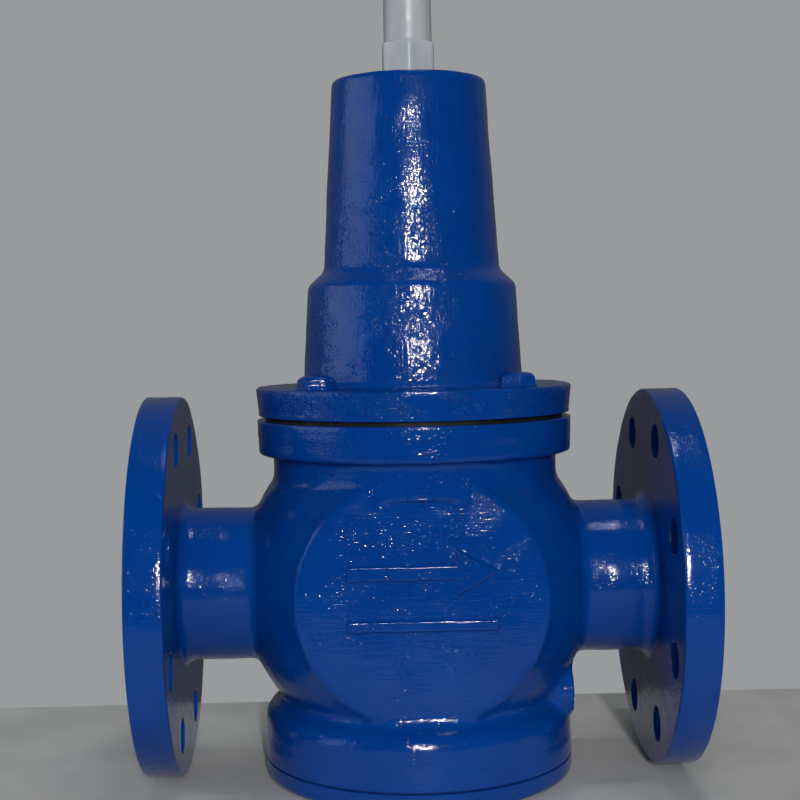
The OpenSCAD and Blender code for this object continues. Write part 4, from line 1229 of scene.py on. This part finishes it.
def plate(name, low, high, z):
    """A flat floor between two corners, in metres."""
    data = bpy.data.meshes.new(name)
    (x0, y0), (x1, y1) = low, high
    data.from_pydata([(x0, y0, z), (x1, y0, z), (x1, y1, z), (x0, y1, z)], [], [(0, 1, 2, 3)])
    obj = bpy.data.objects.new(name, data)
    bpy.context.scene.collection.objects.link(obj)
    return obj


floor = plate("floor", (-1.0, -0.42), (1.0, 0.145), -0.0003)
floor_look = Shader("floor", Roughness=0.75, Specular_IOR_Level=0.2)
floor_tone = floor_look.colour(
    floor_look.ramp(floor_look.noise(60, 4.0), 0.3, 0.7), rgb(0.47, 0.48, 0.48), rgb(0.56, 0.565, 0.56)
)
floor.data.materials.append(floor_look.finish(Base_Color=floor_tone))

camera = bpy.data.objects.new("camera", bpy.data.cameras.new("camera"))
bpy.context.scene.collection.objects.link(camera)
bpy.context.scene.camera = camera
camera.data.lens, camera.data.sensor_width = 65.66, 36.0
camera.data.clip_start, camera.data.clip_end = 0.01, 50
YAW, PITCH, ROLL = 0.0322, 0.0495, -0.0166
right = np.array([math.cos(YAW), -math.sin(YAW), 0.0])
ahead = np.array([math.sin(YAW), math.cos(YAW), 0.0])
upward = np.array([0.0, 0.0, 1.0])
look = ahead * math.cos(PITCH) - upward * math.sin(PITCH)
lift = upward * math.cos(PITCH) + ahead * math.sin(PITCH)
across = right * math.cos(ROLL) + lift * math.sin(ROLL)
lift = lift * math.cos(ROLL) - right * math.sin(ROLL)
turn = Matrix(np.column_stack([across, lift, -look]).tolist()).to_4x4()
camera.matrix_world = Matrix.Translation((-0.03225, -0.77866, 0.23676)) @ turn


def area_light(name, place, target, size, energy, tint=(1, 1, 1)):
    """A rectangular light at place that faces target."""
    data = bpy.data.lights.new(name, "AREA")
    data.shape, data.size, data.size_y = "RECTANGLE", size[0], size[1]
    data.energy, data.color = energy, tint
    obj = bpy.data.objects.new(name, data)
    bpy.context.scene.collection.objects.link(obj)
    forward = np.array(target, float) - np.array(place, float)
    forward /= np.linalg.norm(forward)
    side = np.cross(forward, (0, 0, 1))
    side /= np.linalg.norm(side)
    rise = np.cross(side, forward)
    turn = Matrix(np.column_stack([side, rise, -forward]).tolist()).to_4x4()
    obj.matrix_world = Matrix.Translation(place) @ turn
    return obj


area_light("lamp", (0.14, -2.0, 0.6), (0, 0, 0.27), (0.05, 0.3), 27, (1.0, 0.98, 0.93))
area_light("ceiling_lamp", (0.2, -0.05, 2.2), (0.2, 0, 0.1), (0.45, 0.06), 3.5)
area_light("window", (-2.3, -0.4, 0.63), (0, 0, 0.2), (2.2, 1.3), 12.0, (0.78, 0.88, 1.0))
fill = area_light("fill", (0.1, -2.3, 0.9), (0, 0, 0.2), (1.3, 1.3), 15)
fill.visible_glossy = False
above = area_light("above", (0.0, 0.1, 2.0), (0, 0, 0.1), (1.5, 1.5), 5)
above.visible_glossy = False

# The room: the wall behind is pale and lit above, and the room in front of it is dark
world = bpy.data.worlds.new("room")
bpy.context.scene.world = world
world.use_nodes = True
sky = world.node_tree


def sky_node(kind, inputs, **settings):
    """A node of the world, with its inputs by name or number as values or links."""
    node = sky.nodes.new(kind)
    for key, value in settings.items():
        setattr(node, key, value)
    for key, value in inputs.items():
        if isinstance(value, bpy.types.NodeSocket):
            sky.links.new(value, node.inputs[key])
        else:
            node.inputs[key].default_value = value
    return node


ray = sky_node("ShaderNodeTexCoord", {}).outputs["Generated"]
direction = sky_node("ShaderNodeSeparateXYZ", {0: ray})
back = sky_node("ShaderNodeMapRange", {"Value": direction.outputs["Y"], "From Min": 0.1, "From Max": 0.6})
rise = sky_node(
    "ShaderNodeMapRange",
    {"Value": direction.outputs["Z"], "From Min": -0.1, "From Max": 0.3, "To Min": 0.35},
)
lit = sky_node("ShaderNodeMath", {0: back.outputs[0], 1: rise.outputs[0]}, operation="MULTIPLY")
glow = sky_node("ShaderNodeMath", {0: lit.outputs[0], 1: 0.13, 2: 0.02}, operation="MULTIPLY_ADD")
camera_ray = sky_node("ShaderNodeLightPath", {}).outputs["Is Camera Ray"]
seen = sky_node("ShaderNodeMix", {"Factor": camera_ray, "A": glow.outputs[0], "B": 0.325})
backdrop = sky.nodes["Background"]
backdrop.inputs["Color"].default_value = (0.97, 1.0, 1.02, 1)
sky.links.new(seen.outputs["Result"], backdrop.inputs["Strength"])
bpy.context.scene.view_settings.view_transform = "Standard"
